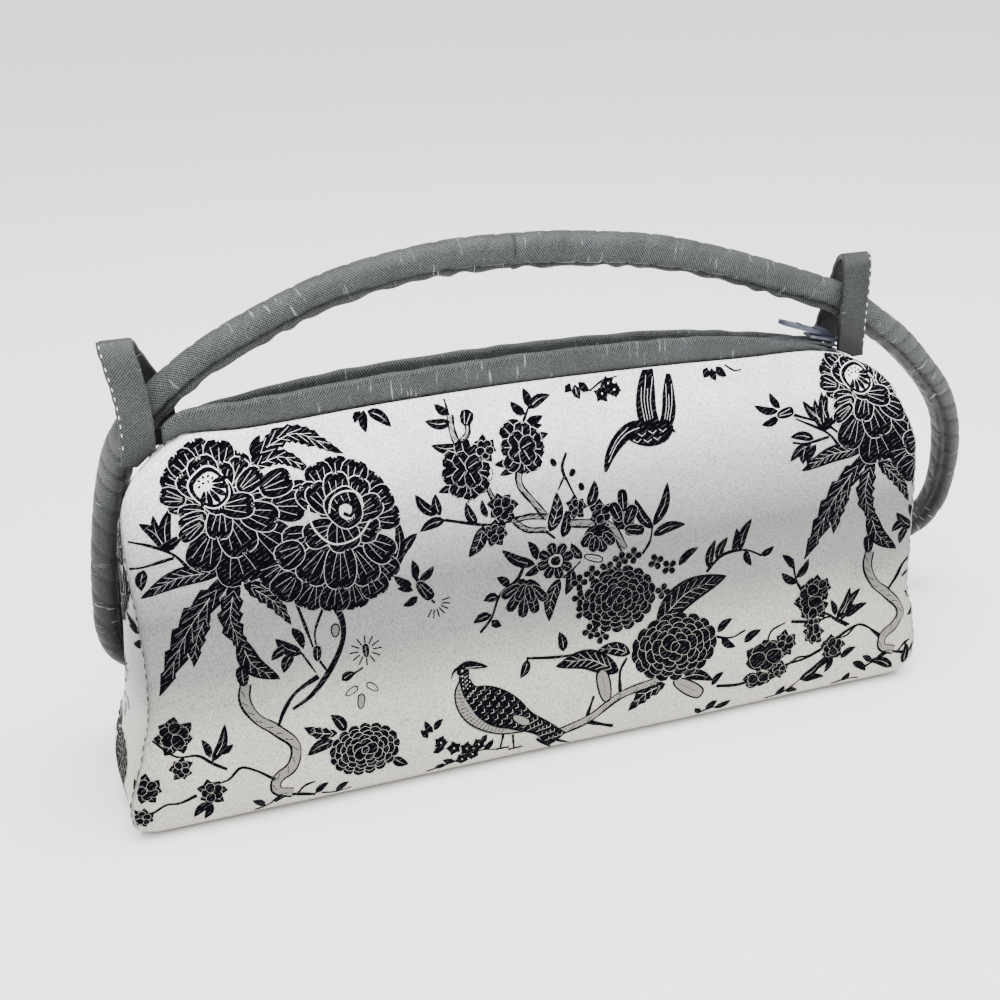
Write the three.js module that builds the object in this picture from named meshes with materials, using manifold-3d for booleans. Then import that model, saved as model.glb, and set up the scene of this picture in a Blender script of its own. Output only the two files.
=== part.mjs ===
// A small brocade evening purse: a wedge-shaped padded body that stands on its base, closed by a zip
// between two silk bindings, with a ring handle threaded through a loop of silk tape at each end.
// Millimetres, +Z up. X runs along the purse, its front face looks to -Y, and the origin is the
// centre of the base.

import * as THREE from 'three';
import { mergeVertices } from 'three/addons/utils/BufferGeometryUtils.js';
import Module from 'manifold-3d';

const wasm = await Module();
wasm.setup();

// Driving sizes
const LENGTH = 290;             // along the base
const DEPTH = 65;               // front to back at the base
const HEIGHT = 132;             // from the base to the brocade's edge at the middle of the mouth
const WALL = 3;                 // brocade, wadding and lining together
const MOUTH = 19;               // between the outer faces at the mouth
const FOLD_RADIUS = 8;          // where the front and the back turn under into the base
const CORNER_STAND = 0.2;       // how far the sewn corners stand below the middle of the base
const CORNER_REACH = 0.25;      // how far in from each end they reach, as a share of half the length
const CLEAR = 0.3;              // between pieces that touch

const SEAM_ROLL = 1.8;          // how far the brocade turns in at an end seam
const SEAM_SPAN = 7;            // along how much of the brocade it turns in
const GUSSET_INSET = 2.5;       // the gusset's edge, in from the end of the body
const GUSSET_SWELL = 7.5;       // how far the gusset's middle stands out from its edge

const BINDING_HEIGHT = 9;
const BINDING_THICKNESS = 3.4;
const BINDING_INSET = 0.8;      // its middle, in from the middle of the cloth's wall
const ZIP_FROM = -0.747;        // its left end, as a share of half the length
const ZIP_RISE = 1.6;           // the zip's mid-plane above the brocade's edge
const TAPE_THICKNESS = 0.9;
const COIL_WIDTH = 4;
const COIL_THICKNESS = 2;
const COIL_SHOULDER = 0.6;      // height of the coil's edges, as a share of its middle's

const SLIDER_LENGTH = 12;
const SLIDER_WIDTH = 8.4;
const SLIDER_THICKNESS = 4.6;
const SLIDER_PLATE = 1;
const SLIDER_PLACE = 0.81;      // its middle, as a share of half the length
const TAPES_PAST_SLIDER = 4.8;  // how far the tapes run on beyond its middle
const FLANGE_WIDTH = 0.8;
const FLANGE_BITE = 0.3;        // how deep a flange is rooted in its plate
const POST_DIAMETER = 2.2;
const BRIDGE_WIDTH = 1.6;
const BRIDGE_WALL = 0.7;
const PIN_DIAMETER = 1.3;
const PIN_PLAY = 0.35;          // between the pin and the eye that holds it
const PIN_ROOT = 0.5;           // how deep each end of the pin is rooted in the pull's arm
const PULL_LENGTH = 16.5;
const PULL_WIDTH = 7;
const PULL_THICKNESS = 1.5;
const PULL_RISE = 0.65;         // between the slider's top and the pull
const PULL_BAR = 1.2;           // width of the bar at the end of its window
const PULL_BAR_RISE = 0.3;      // how far the bar stands up from the grip
const PULL_TILT = 19;           // degrees above level, pointing back along the zip

const HANDLE_DIAMETER = 11.2;
const HANG_GAP = 1.6;           // between the hanging half of the handle and the back
const TAB_WIDTH = 11;
const TAB_THICKNESS = 2.2;
const TAB_SEAT = 0.6;           // the gap under its feet, which stand on the binding's seam

const HALF_LENGTH = LENGTH / 2;
const HALF_DEPTH = DEPTH / 2;
const HALF_MOUTH = MOUTH / 2;
const HANDLE_RADIUS = HANDLE_DIAMETER / 2;
const LEFT = -1;
const RIGHT = 1;
const FRONT = -1;
const BACK = 1;

// The face of the body in section. up: share of HEIGHT; out: share of the way from the mouth's half
// depth to the base's. The face leans back at its shoulder and stands nearly upright below it.
const FACE = [
  { up: 1.0, out: 0.0 },
  { up: 0.965, out: 0.11 },
  { up: 0.9, out: 0.27 },
  { up: 0.8, out: 0.45 },
  { up: 0.66, out: 0.62 },
  { up: 0.5, out: 0.74 },
  { up: 0.36, out: 0.82 },
  { up: 0.24, out: 0.9 },
  { up: 0.15, out: 0.97 },
];

// Where the body ends, by height, as shares of half the length. The handle presses the back's left
// corner in, so that corner has a column of its own.
const ENDS = [
  { up: 0.0, left: 0.99, leftBack: 0.99, right: 0.995 },
  { up: 0.05, left: 1.002, leftBack: 1.002, right: 1.008 },
  { up: 0.11, left: 1.002, leftBack: 1.0, right: 1.02 },
  { up: 0.17, left: 0.982, leftBack: 0.98, right: 1.02 },
  { up: 0.24, left: 0.957, leftBack: 0.955, right: 1.01 },
  { up: 0.32, left: 0.937, leftBack: 0.935, right: 1.0 },
  { up: 0.46, left: 0.925, leftBack: 0.925, right: 1.004 },
  { up: 0.6, left: 0.927, leftBack: 0.92, right: 1.014 },
  { up: 0.74, left: 0.932, leftBack: 0.908, right: 1.02 },
  { up: 0.86, left: 0.925, leftBack: 0.87, right: 0.985 },
  { up: 0.93, left: 0.893, leftBack: 0.83, right: 0.952 },
  { up: 0.97, left: 0.852, leftBack: 0.795, right: 0.91 },
  { up: 1.0, left: 0.812, leftBack: 0.77, right: 0.86 },
];

// How far the mouth's edge drops below HEIGHT, by its place from the left end, -1, to the right, 1.
const MOUTH_DROP = [
  { at: -1.0, drop: 0.032 },
  { at: -0.94, drop: 0.016 },
  { at: -0.8, drop: 0.021 },
  { at: -0.66, drop: 0.017 },
  { at: -0.5, drop: 0.009 },
  { at: -0.34, drop: 0.004 },
  { at: 0.0, drop: 0.0 },
  { at: 0.38, drop: 0.006 },
  { at: 0.66, drop: 0.016 },
  { at: 0.86, drop: 0.021 },
  { at: 0.956, drop: 0.038 },
  { at: 1.0, drop: 0.05 },
];

// Dents and swells of the soft faces. at and long: shares of half the length; up and tall: shares of
// HEIGHT; rise: share of half the depth, out of the face, or into it where it is negative.
const DENTS = [
  { side: FRONT, at: -0.97, long: 0.1, up: 0.25, tall: 0.05, rise: -0.09 },
  { side: FRONT, at: -0.78, long: 0.2, up: 0.27, tall: 0.04, rise: -0.03 },
  { side: FRONT, at: -0.72, long: 0.22, up: 0.12, tall: 0.07, rise: 0.03 },
  { side: FRONT, at: 1.0, long: 0.07, up: 0.16, tall: 0.04, rise: -0.05 },
  { side: FRONT, at: 0.98, long: 0.08, up: 0.27, tall: 0.05, rise: -0.05 },
  { side: FRONT, at: 0.15, long: 0.5, up: 0.33, tall: 0.1, rise: -0.03 },
  { side: FRONT, at: 0.1, long: 0.55, up: 0.75, tall: 0.14, rise: 0.04 },
  { side: BACK, at: -0.2, long: 0.45, up: 0.5, tall: 0.2, rise: 0.03 },
  { side: BACK, at: 0.55, long: 0.3, up: 0.3, tall: 0.08, rise: -0.04 },
];

// The visible height of each binding, as a share of BINDING_HEIGHT, by its place along half the length.
const BINDING_FRONT = [
  { at: -0.815, tall: 0.62 },
  { at: -0.78, tall: 0.78 },
  { at: -0.7, tall: 0.92 },
  { at: -0.4, tall: 1.0 },
  { at: 0.3, tall: 1.0 },
  { at: 0.5, tall: 0.9 },
  { at: 0.62, tall: 0.64 },
  { at: 0.72, tall: 0.3 },
  { at: 0.8, tall: 0.14 },
];
const BINDING_BACK = [
  { at: -0.745, tall: 0.25 },
  { at: -0.66, tall: 0.6 },
  { at: -0.55, tall: 0.85 },
  { at: -0.35, tall: 0.95 },
  { at: 0.3, tall: 0.92 },
  { at: 0.5, tall: 0.75 },
  { at: 0.62, tall: 0.5 },
  { at: 0.76, tall: 0.16 },
];

// The gusset's swell, by height, as a share of GUSSET_SWELL.
const SWELL = [
  { up: 0.0, swell: 0.35 },
  { up: 0.08, swell: 0.6 },
  { up: 0.35, swell: 1.0 },
  { up: 0.7, swell: 0.75 },
  { up: 0.9, swell: 0.35 },
  { up: 1.0, swell: 0.15 },
];

// The handle's route, once round. at: share of half the length; up: share of HEIGHT; behind: 0 over the
// mouth, 1 where it hangs HANG_GAP clear of the back.
const HANDLE_ROUTE = [
  { at: 0.0, up: 1.322, behind: 0.0 },
  { at: 0.197, up: 1.306, behind: 0.0 },
  { at: 0.35, up: 1.281, behind: 0.0 },
  { at: 0.509, up: 1.236, behind: 0.0 },
  { at: 0.634, up: 1.188, behind: 0.0 },
  { at: 0.763, up: 1.136, behind: 0.0 },
  { at: 0.86, up: 1.09, behind: 0.0 },
  { at: 0.958, up: 1.018, behind: 0.05 },
  { at: 1.054, up: 0.943, behind: 0.24 },
  { at: 1.167, up: 0.833, behind: 0.44 },
  { at: 1.258, up: 0.73, behind: 0.6 },
  { at: 1.32, up: 0.628, behind: 0.715 },
  { at: 1.362, up: 0.506, behind: 0.83 },
  { at: 1.378, up: 0.395, behind: 0.91 },
  { at: 1.375, up: 0.31, behind: 0.96 },
  { at: 1.34, up: 0.238, behind: 0.99 },
  { at: 1.26, up: 0.195, behind: 1.0 },
  { at: 1.1, up: 0.17, behind: 1.0 },
  { at: 0.41, up: 0.165, behind: 1.02 },
  { at: 0.0, up: 0.18, behind: 1.03 },
  { at: -0.41, up: 0.205, behind: 1.02 },
  { at: -0.74, up: 0.232, behind: 1.0 },
  { at: -0.885, up: 0.24, behind: 1.0 },
  { at: -0.957, up: 0.265, behind: 1.0 },
  { at: -0.984, up: 0.33, behind: 1.0 },
  { at: -0.979, up: 0.46, behind: 0.99 },
  { at: -0.965, up: 0.59, behind: 0.97 },
  { at: -0.949, up: 0.69, behind: 0.95 },
  { at: -0.928, up: 0.805, behind: 0.83 },
  { at: -0.905, up: 0.912, behind: 0.52 },
  { at: -0.868, up: 0.998, behind: 0.1 },
  { at: -0.817, up: 1.057, behind: 0.0 },
  { at: -0.723, up: 1.131, behind: 0.0 },
  { at: -0.605, up: 1.196, behind: 0.0 },
  { at: -0.423, up: 1.273, behind: 0.0 },
  { at: -0.2, up: 1.318, behind: 0.0 },
];

// The middle line of each loop of tape, from its front foot over the handle to its back foot. at: share
// of half the length; up: share of HEIGHT, the feet being set on the body; apart: share of the room that
// the handle needs to each side.
const TAB_LEFT = [
  { at: -0.873, up: 0.0, apart: -1.08 },
  { at: -0.868, up: 0.965, apart: -1.08 },
  { at: -0.866, up: 1.04, apart: -1.08 },
  { at: -0.871, up: 1.11, apart: -1.02 },
  { at: -0.88, up: 1.17, apart: -0.75 },
  { at: -0.885, up: 1.205, apart: -0.2 },
  { at: -0.881, up: 1.195, apart: 0.35 },
  { at: -0.862, up: 1.148, apart: 0.88 },
  { at: -0.842, up: 1.1, apart: 1.3 },
  { at: -0.815, up: 1.03, apart: 1.34 },
  { at: -0.807, up: 0.0, apart: 1.25 },
];
const TAB_RIGHT = [
  { at: 0.865, up: 0.0, apart: -1.08 },
  { at: 0.865, up: 0.96, apart: -1.08 },
  { at: 0.868, up: 1.06, apart: -1.08 },
  { at: 0.874, up: 1.14, apart: -0.97 },
  { at: 0.884, up: 1.192, apart: -0.6 },
  { at: 0.895, up: 1.206, apart: 0.0 },
  { at: 0.9, up: 1.192, apart: 0.6 },
  { at: 0.897, up: 1.14, apart: 0.98 },
  { at: 0.88, up: 1.06, apart: 1.1 },
  { at: 0.862, up: 0.99, apart: 1.12 },
  { at: 0.85, up: 0.0, apart: 1.12 },
];

// Numbers of steps
const FACE_ROWS = 12;
const FOLD_ROWS = 4;
const BASE_ROWS = 2;
const BODY_COLUMNS = 15;
const SEAM_COLUMNS = [0, 1.2, 3, 6];
const GUSSET_COLUMNS = 10;
const STRIP_STEPS = 26;
const TAB_STEPS = 26;
const HANDLE_STEPS = 88;
const HANDLE_SIDES = 12;
const ROUND_SIDES = 12;

// A smooth curve through one column of a table, read by another column that rises.
function smooth(rows, by, column) {
  const slope = rows.map((row, i) => {
    const a = rows[Math.max(i - 1, 0)];
    const b = rows[Math.min(i + 1, rows.length - 1)];
    return (b[column] - a[column]) / (b[by] - a[by]);
  });
  return (value) => {
    const v = THREE.MathUtils.clamp(value, rows[0][by], rows.at(-1)[by]);
    const i = Math.min(rows.findLastIndex((row) => row[by] <= v), rows.length - 2);
    const span = rows[i + 1][by] - rows[i][by];
    const t = (v - rows[i][by]) / span;
    const bend = 3 * t * t - 2 * t * t * t;
    return (
      THREE.MathUtils.lerp(rows[i][column], rows[i + 1][column], bend) +
      span * slope[i] * (t * t * t - 2 * t * t + t) +
      span * slope[i + 1] * (t * t * t - t * t)
    );
  };
}

// A closed mesh from a list of rings of equal length, capped at both ends.
function skin(rings) {
  const n = rings[0].length;
  const place = rings.flat().flatMap((p) => [p.x, p.y, p.z]);
  const faces = [];
  for (let i = 0; i < rings.length - 1; i++) {
    for (let j = 0; j < n; j++) {
      const k = (j + 1) % n;
      faces.push(i * n + j, (i + 1) * n + j, (i + 1) * n + k);
      faces.push(i * n + j, (i + 1) * n + k, i * n + k);
    }
  }
  for (const i of [0, rings.length - 1]) {
    const middle = place.length / 3;
    const sum = rings[i].reduce((s, p) => s.add(p), new THREE.Vector3());
    place.push(...sum.divideScalar(n).toArray());
    for (let j = 0; j < n; j++) {
      const k = (j + 1) % n;
      faces.push(middle, ...(i === 0 ? [i * n + j, i * n + k] : [i * n + k, i * n + j]));
    }
  }
  return facingOut(place, faces);
}

// A closed shell from two grids of points of the same size, joined along their four edges.
function shell(outer, inner) {
  const rows = outer.length;
  const columns = outer[0].length;
  const place = [...outer.flat(), ...inner.flat()].flatMap((p) => [p.x, p.y, p.z]);
  const faces = [];
  const at = (layer, i, j) => layer * rows * columns + i * columns + j;
  const quad = (a, b, c, d) => faces.push(a, b, c, a, c, d);
  for (let i = 0; i < rows - 1; i++) {
    for (let j = 0; j < columns - 1; j++) {
      quad(at(0, i, j), at(0, i + 1, j), at(0, i + 1, j + 1), at(0, i, j + 1));
      quad(at(1, i, j), at(1, i, j + 1), at(1, i + 1, j + 1), at(1, i + 1, j));
    }
    quad(at(0, i, 0), at(1, i, 0), at(1, i + 1, 0), at(0, i + 1, 0));
    const end = columns - 1;
    quad(at(0, i, end), at(0, i + 1, end), at(1, i + 1, end), at(1, i, end));
  }
  for (let j = 0; j < columns - 1; j++) {
    quad(at(0, 0, j), at(0, 0, j + 1), at(1, 0, j + 1), at(1, 0, j));
    const end = rows - 1;
    quad(at(0, end, j), at(1, end, j), at(1, end, j + 1), at(0, end, j + 1));
  }
  return facingOut(place, faces);
}

// The geometry of a closed mesh, with its faces turned out.
function facingOut(place, faces) {
  const p = (i) => new THREE.Vector3().fromArray(place, 3 * i);
  let volume = 0;
  for (let i = 0; i < faces.length; i += 3) {
    volume += p(faces[i]).dot(p(faces[i + 1]).cross(p(faces[i + 2])));
  }
  const geometry = new THREE.BufferGeometry();
  geometry.setAttribute('position', new THREE.Float32BufferAttribute(place, 3));
  geometry.setIndex(volume > 0 ? faces : faces.toReversed());
  geometry.computeVertexNormals();
  return geometry;
}

// A solid for joining, from a closed geometry.
function solid(geometry) {
  const bare = geometry.clone();
  bare.deleteAttribute('normal');
  bare.deleteAttribute('uv');
  const merged = mergeVertices(bare, 1e-4);
  const index = merged.index.array;
  return new wasm.Manifold(new wasm.Mesh({
    numProp: 3,
    vertProperties: new Float32Array(merged.attributes.position.array),
    triVerts: new Uint32Array(index),
  }));
}

// The geometry of several closed geometries joined into one solid.
function joined(...geometries) {
  const mesh = geometries.map(solid).reduce((a, b) => a.add(b)).getMesh();
  const geometry = new THREE.BufferGeometry();
  geometry.setAttribute('position', new THREE.BufferAttribute(mesh.vertProperties, 3));
  geometry.setIndex(new THREE.BufferAttribute(mesh.triVerts, 1));
  geometry.computeVertexNormals();
  return geometry;
}

// Named silks, threads and metal
const cloth = (color, roughness) => new THREE.MeshStandardMaterial({ color, roughness, metalness: 0 });
const brocade = () => cloth(0xd3d0cb, 0.45);
const greySilk = () => cloth(0x5f6665, 0.6);
const zipTape = () => cloth(0x3c4042, 0.8);
const zipMetal = () => new THREE.MeshStandardMaterial({ color: 0x6c7286, roughness: 0.4, metalness: 0.3 });

const purse = new THREE.Group();
function add(name, geometry, material) {
  const mesh = new THREE.Mesh(geometry, material);
  mesh.name = name;
  purse.add(mesh);
  return mesh;
}

// Half of the body's section, from the mouth to the middle of the base, as stations with the outward
// normal. out and up are in millimetres.
const faceCurve = new THREE.SplineCurve([
  ...FACE.map(({ up, out }) => new THREE.Vector2(
    THREE.MathUtils.lerp(HALF_MOUTH, HALF_DEPTH, out), up * HEIGHT)),
  new THREE.Vector2(HALF_DEPTH, FOLD_RADIUS),
]);
const stations = [];
for (let i = 0; i < FACE_ROWS; i++) {
  const p = faceCurve.getPoint(i / FACE_ROWS);
  const t = faceCurve.getTangent(i / FACE_ROWS);
  stations.push({ out: p.x, up: p.y, normal: new THREE.Vector2(-t.y, t.x) });
}
for (let i = 0; i <= FOLD_ROWS; i++) {
  const turn = (i / FOLD_ROWS) * Math.PI / 2;
  const normal = new THREE.Vector2(Math.cos(turn), -Math.sin(turn));
  stations.push({
    out: HALF_DEPTH - FOLD_RADIUS + FOLD_RADIUS * normal.x,
    up: FOLD_RADIUS + FOLD_RADIUS * normal.y,
    normal,
  });
}
const lastOfFold = stations.length - 1;
for (let i = 1; i <= BASE_ROWS; i++) {
  const out = (HALF_DEPTH - FOLD_RADIUS) * (1 - i / BASE_ROWS);
  stations.push({ out, up: 0, normal: new THREE.Vector2(0, -1) });
}

const endShare = {
  left: smooth(ENDS, 'up', 'left'),
  leftBack: smooth(ENDS, 'up', 'leftBack'),
  right: smooth(ENDS, 'up', 'right'),
};
const mouthDrop = smooth(MOUTH_DROP, 'at', 'drop');

// The body's half length at a height, for one end and one side.
function halfLength(up, end, side) {
  const column = end === RIGHT ? 'right' : side === BACK ? 'leftBack' : 'left';
  return HALF_LENGTH * endShare[column](up / HEIGHT);
}

// How far the dents and swells move the cloth out of its section.
function dent(x, up, side) {
  return DENTS.filter((d) => d.side === side).reduce((sum, d) => {
    const along = (x / HALF_LENGTH - d.at) / d.long;
    const rise = (up / HEIGHT - d.up) / d.tall;
    return sum + d.rise * HALF_DEPTH * Math.exp(-along * along - rise * rise);
  }, 0);
}

// A point of the body's cloth. at runs from -1 at the left end to 1 at the right; inward is the depth
// below the outer face; roll says whether the brocade turns in at the end seams.
function bodyPoint(at, side, station, inward, roll = false) {
  const { out, up, normal } = station;
  const half = halfLength(up, at < 0 ? LEFT : RIGHT, side);
  const x = at * half;
  const lift = up / HEIGHT;
  const drop = mouthDrop(at) * HEIGHT * lift * lift;
  const fromEnd = (1 - Math.abs(at)) * half;
  const turned = roll ? SEAM_ROLL * Math.max(0, 1 - fromEnd / SEAM_SPAN) ** 2 : 0;
  const off = (up > 0 ? dent(x, up, side) * Math.min(1, up / FOLD_RADIUS) : 0) - inward - turned;
  return new THREE.Vector3(x, side * (out + normal.x * off), up - drop - stand(at, out, up) + normal.y * off);
}

// How far the base sinks towards its four sewn corners, on which the purse stands.
function stand(at, out, up) {
  const low = Math.max(0, 1 - up / FOLD_RADIUS);
  const along = THREE.MathUtils.smoothstep(Math.abs(at), 1 - CORNER_REACH, 1 - SEAM_SPAN / HALF_LENGTH);
  return CORNER_STAND * low * along * Math.min(1, out / (HALF_DEPTH - FOLD_RADIUS)) ** 2;
}

// The body: front, base and back in one padded piece of brocade, open at the mouth and both ends.
const bodyColumns = [];
for (let i = 1; i < BODY_COLUMNS; i++) bodyColumns.push(-1 + (2 * i) / BODY_COLUMNS);
for (const d of SEAM_COLUMNS) {
  bodyColumns.push(-1 + d / HALF_LENGTH, 1 - d / HALF_LENGTH);
}
bodyColumns.sort((a, b) => a - b);
function bodyGrid(inward, roll) {
  const front = stations.map((s) => bodyColumns.map((at) => bodyPoint(at, FRONT, s, inward, roll)));
  const back = stations.map((s) => bodyColumns.map((at) => bodyPoint(at, BACK, s, inward, roll)));
  return [...front, ...back.reverse().slice(1)];
}
add('body_brocade', shell(bodyGrid(0, true), bodyGrid(WALL, false)), brocade());

// The gussets: a padded wedge of brocade set into each end, domed outwards.
const gussetSwell = smooth(SWELL, 'up', 'swell');
function gussetGrid(end, inset) {
  return stations.slice(0, lastOfFold + 1).map((station) => {
    const rim = [FRONT, BACK].map((side) => {
      const at = end * (1 - inset / halfLength(station.up, end, side));
      return bodyPoint(at, side, station, WALL + CLEAR);
    });
    const swell = GUSSET_SWELL * gussetSwell(station.up / HEIGHT);
    const row = [];
    for (let j = 0; j <= GUSSET_COLUMNS; j++) {
      const across = -Math.cos((j / GUSSET_COLUMNS) * Math.PI);
      const dome = (1 - Math.abs(across) ** 2.5) ** 0.7;
      const p = rim[0].clone().lerp(rim[1], (across + 1) / 2);
      p.x += end * swell * dome;
      row.push(p);
    }
    return row;
  });
}
for (const [name, end] of [['gusset_left', LEFT], ['gusset_right', RIGHT]]) {
  add(name, shell(gussetGrid(end, GUSSET_INSET), gussetGrid(end, GUSSET_INSET + WALL)), brocade());
}

// The height of the body's upper edge at x: the mouth's edge, then the rounded corner beyond it.
function edgeHeight(x, side) {
  const end = x < 0 ? LEFT : RIGHT;
  const mouthHalf = halfLength(HEIGHT, end, side);
  if (Math.abs(x) <= mouthHalf) return HEIGHT * (1 - mouthDrop(x / mouthHalf));
  const corner = stations.map((s) => bodyPoint(end, side, s, 0));
  const i = corner.findIndex((p, k) => k > 0 && Math.abs(p.x) >= Math.abs(x));
  const t = (Math.abs(x) - Math.abs(corner[i - 1].x)) / (Math.abs(corner[i].x) - Math.abs(corner[i - 1].x));
  return THREE.MathUtils.lerp(corner[i - 1].z, corner[i].z, t);
}

// A strip that runs along the mouth. section gives its outline, in Y and Z above the brocade's edge.
function mouthStrip(from, to, side, section) {
  const rings = [];
  for (let i = 0; i <= STRIP_STEPS; i++) {
    const x = HALF_LENGTH * THREE.MathUtils.lerp(from, to, i / STRIP_STEPS);
    const edge = edgeHeight(x, side);
    rings.push(section(x / HALF_LENGTH).map(([y, z]) => new THREE.Vector3(x, y, edge + z)));
  }
  return skin(rings);
}

// The bindings: folded grey silk standing along each side of the mouth, with a rounded top.
const bindingMiddle = HALF_MOUTH - WALL / 2 - BINDING_INSET;
const bindingInside = bindingMiddle - BINDING_THICKNESS / 2;
for (const [name, side, table] of [
  ['binding_front', FRONT, BINDING_FRONT], ['binding_back', BACK, BINDING_BACK],
]) {
  const tall = smooth(table, 'at', 'tall');
  const half = BINDING_THICKNESS / 2;
  add(name, mouthStrip(table[0].at, table.at(-1).at, side, (at) => {
    const crown = Math.min(half, BINDING_HEIGHT * tall(at) / 2);
    const shoulder = BINDING_HEIGHT * tall(at) - crown;
    const outline = [[side * bindingMiddle - half, CLEAR], [side * bindingMiddle + half, CLEAR]];
    for (let k = 0; k <= 4; k++) {
      const turn = (k / 4) * Math.PI;
      outline.push([side * bindingMiddle + half * Math.cos(turn), shoulder + crown * Math.sin(turn)]);
    }
    return outline;
  }), greySilk());
}

// The zip: two tapes beside the closed coil.
const zipTo = SLIDER_PLACE + TAPES_PAST_SLIDER / HALF_LENGTH;
const tapeOutside = bindingInside - CLEAR;
const tapeInside = COIL_WIDTH / 2 + CLEAR;
for (const [name, side] of [['zip_tape_front', FRONT], ['zip_tape_back', BACK]]) {
  add(name, mouthStrip(ZIP_FROM, zipTo, FRONT, () => {
    const low = ZIP_RISE - TAPE_THICKNESS / 2;
    const high = ZIP_RISE + TAPE_THICKNESS / 2;
    return [[side * tapeOutside, low], [side * tapeInside, low], [side * tapeInside, high],
      [side * tapeOutside, high]];
  }), zipTape());
}
add('zip_coil', mouthStrip(ZIP_FROM, SLIDER_PLACE, FRONT, () => {
  const half = COIL_WIDTH / 2;
  const rise = COIL_THICKNESS / 2;
  const shoulder = rise * COIL_SHOULDER;
  return [[-half, ZIP_RISE - shoulder], [half, ZIP_RISE - shoulder], [half, ZIP_RISE + shoulder],
    [0, ZIP_RISE + rise], [-half, ZIP_RISE + shoulder]];
}), zipTape());

// The slider stands on the zip at the right end. It is drawn about its own middle: two plates whose
// flanges run under and over the tapes, a post at its mouth, and a bridge with the eye for the pull.
const sliderX = SLIDER_PLACE * HALF_LENGTH;
const sliderReach = SLIDER_LENGTH / 2;
const sliderTop = SLIDER_THICKNESS / 2;
const sliderRise = edgeHeight(sliderX - sliderReach, FRONT) - edgeHeight(sliderX + sliderReach, FRONT);
const sliderTilt = Math.atan2(sliderRise, SLIDER_LENGTH);
const eyeRadius = PIN_DIAMETER / 2 + PIN_PLAY;
const eyeX = -0.25 * SLIDER_LENGTH;
const eyeZ = sliderTop + PULL_THICKNESS / 2 + PULL_RISE;

function block(x0, x1, y0, y1, z0, z1) {
  const box = new THREE.BoxGeometry(x1 - x0, y1 - y0, z1 - z0);
  return box.translate((x0 + x1) / 2, (y0 + y1) / 2, (z0 + z1) / 2);
}

function plate(z0) {
  const half = SLIDER_WIDTH / 2;
  const outline = new THREE.Shape();
  outline.moveTo(-sliderReach, -0.62 * half);
  outline.lineTo(-0.2 * sliderReach, -0.8 * half);
  outline.lineTo(0.6 * sliderReach, -half);
  outline.quadraticCurveTo(sliderReach, -half, sliderReach, -0.5 * half);
  outline.quadraticCurveTo(0.8 * sliderReach, 0, sliderReach, 0.5 * half);
  outline.quadraticCurveTo(sliderReach, half, 0.6 * sliderReach, half);
  outline.lineTo(-0.2 * sliderReach, 0.8 * half);
  outline.lineTo(-sliderReach, 0.62 * half);
  const options = { depth: SLIDER_PLATE, bevelEnabled: false, curveSegments: 5 };
  return new THREE.ExtrudeGeometry(outline, options).translate(0, 0, z0);
}

function bridge() {
  const outline = new THREE.Shape();
  const crown = eyeRadius + BRIDGE_WALL;
  const foot = sliderTop - 0.5 * SLIDER_PLATE;
  outline.moveTo(eyeX - crown, foot);
  outline.lineTo(eyeX - crown, eyeZ);
  outline.absarc(eyeX, eyeZ, crown, Math.PI, Math.PI / 2, true);
  outline.quadraticCurveTo(0.5 * sliderReach, eyeZ + crown, 0.6 * sliderReach, foot);
  const eye = new THREE.Path();
  eye.absarc(eyeX, eyeZ, eyeRadius, 0, 2 * Math.PI, false);
  outline.holes.push(eye);
  const options = { depth: BRIDGE_WIDTH, bevelEnabled: false, curveSegments: ROUND_SIDES };
  const shape = new THREE.ExtrudeGeometry(outline, options);
  return shape.translate(0, 0, -BRIDGE_WIDTH / 2).rotateX(Math.PI / 2);
}

function slider() {
  const flangeFrom = 0.62 * SLIDER_WIDTH / 2;
  const channel = sliderTop - SLIDER_PLATE;
  const slot = TAPE_THICKNESS / 2 + PIN_PLAY;
  const flanges = [FRONT, BACK].flatMap((side) => [1, -1].map((face) => {
    const y = [side * (flangeFrom - FLANGE_WIDTH), side * flangeFrom].sort((a, b) => a - b);
    const z = [face * slot, face * (channel + FLANGE_BITE)].sort((a, b) => a - b);
    return block(0.25 * sliderReach, 0.7 * sliderReach, ...y, ...z);
  }));
  const post = new THREE.CylinderGeometry(
    POST_DIAMETER / 2, POST_DIAMETER / 2, SLIDER_THICKNESS - SLIDER_PLATE, ROUND_SIDES);
  post.rotateX(Math.PI / 2).translate(0.72 * sliderReach, 0, 0);
  return joined(plate(channel), plate(-sliderTop), bridge(), post, ...flanges);
}
const sliderMesh = add('zip_slider', slider(), zipMetal());
const sliderMiddle = edgeHeight(sliderX, FRONT) + ZIP_RISE;
sliderMesh.position.set(sliderX, 0, sliderMiddle);
sliderMesh.rotation.y = sliderTilt;

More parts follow.
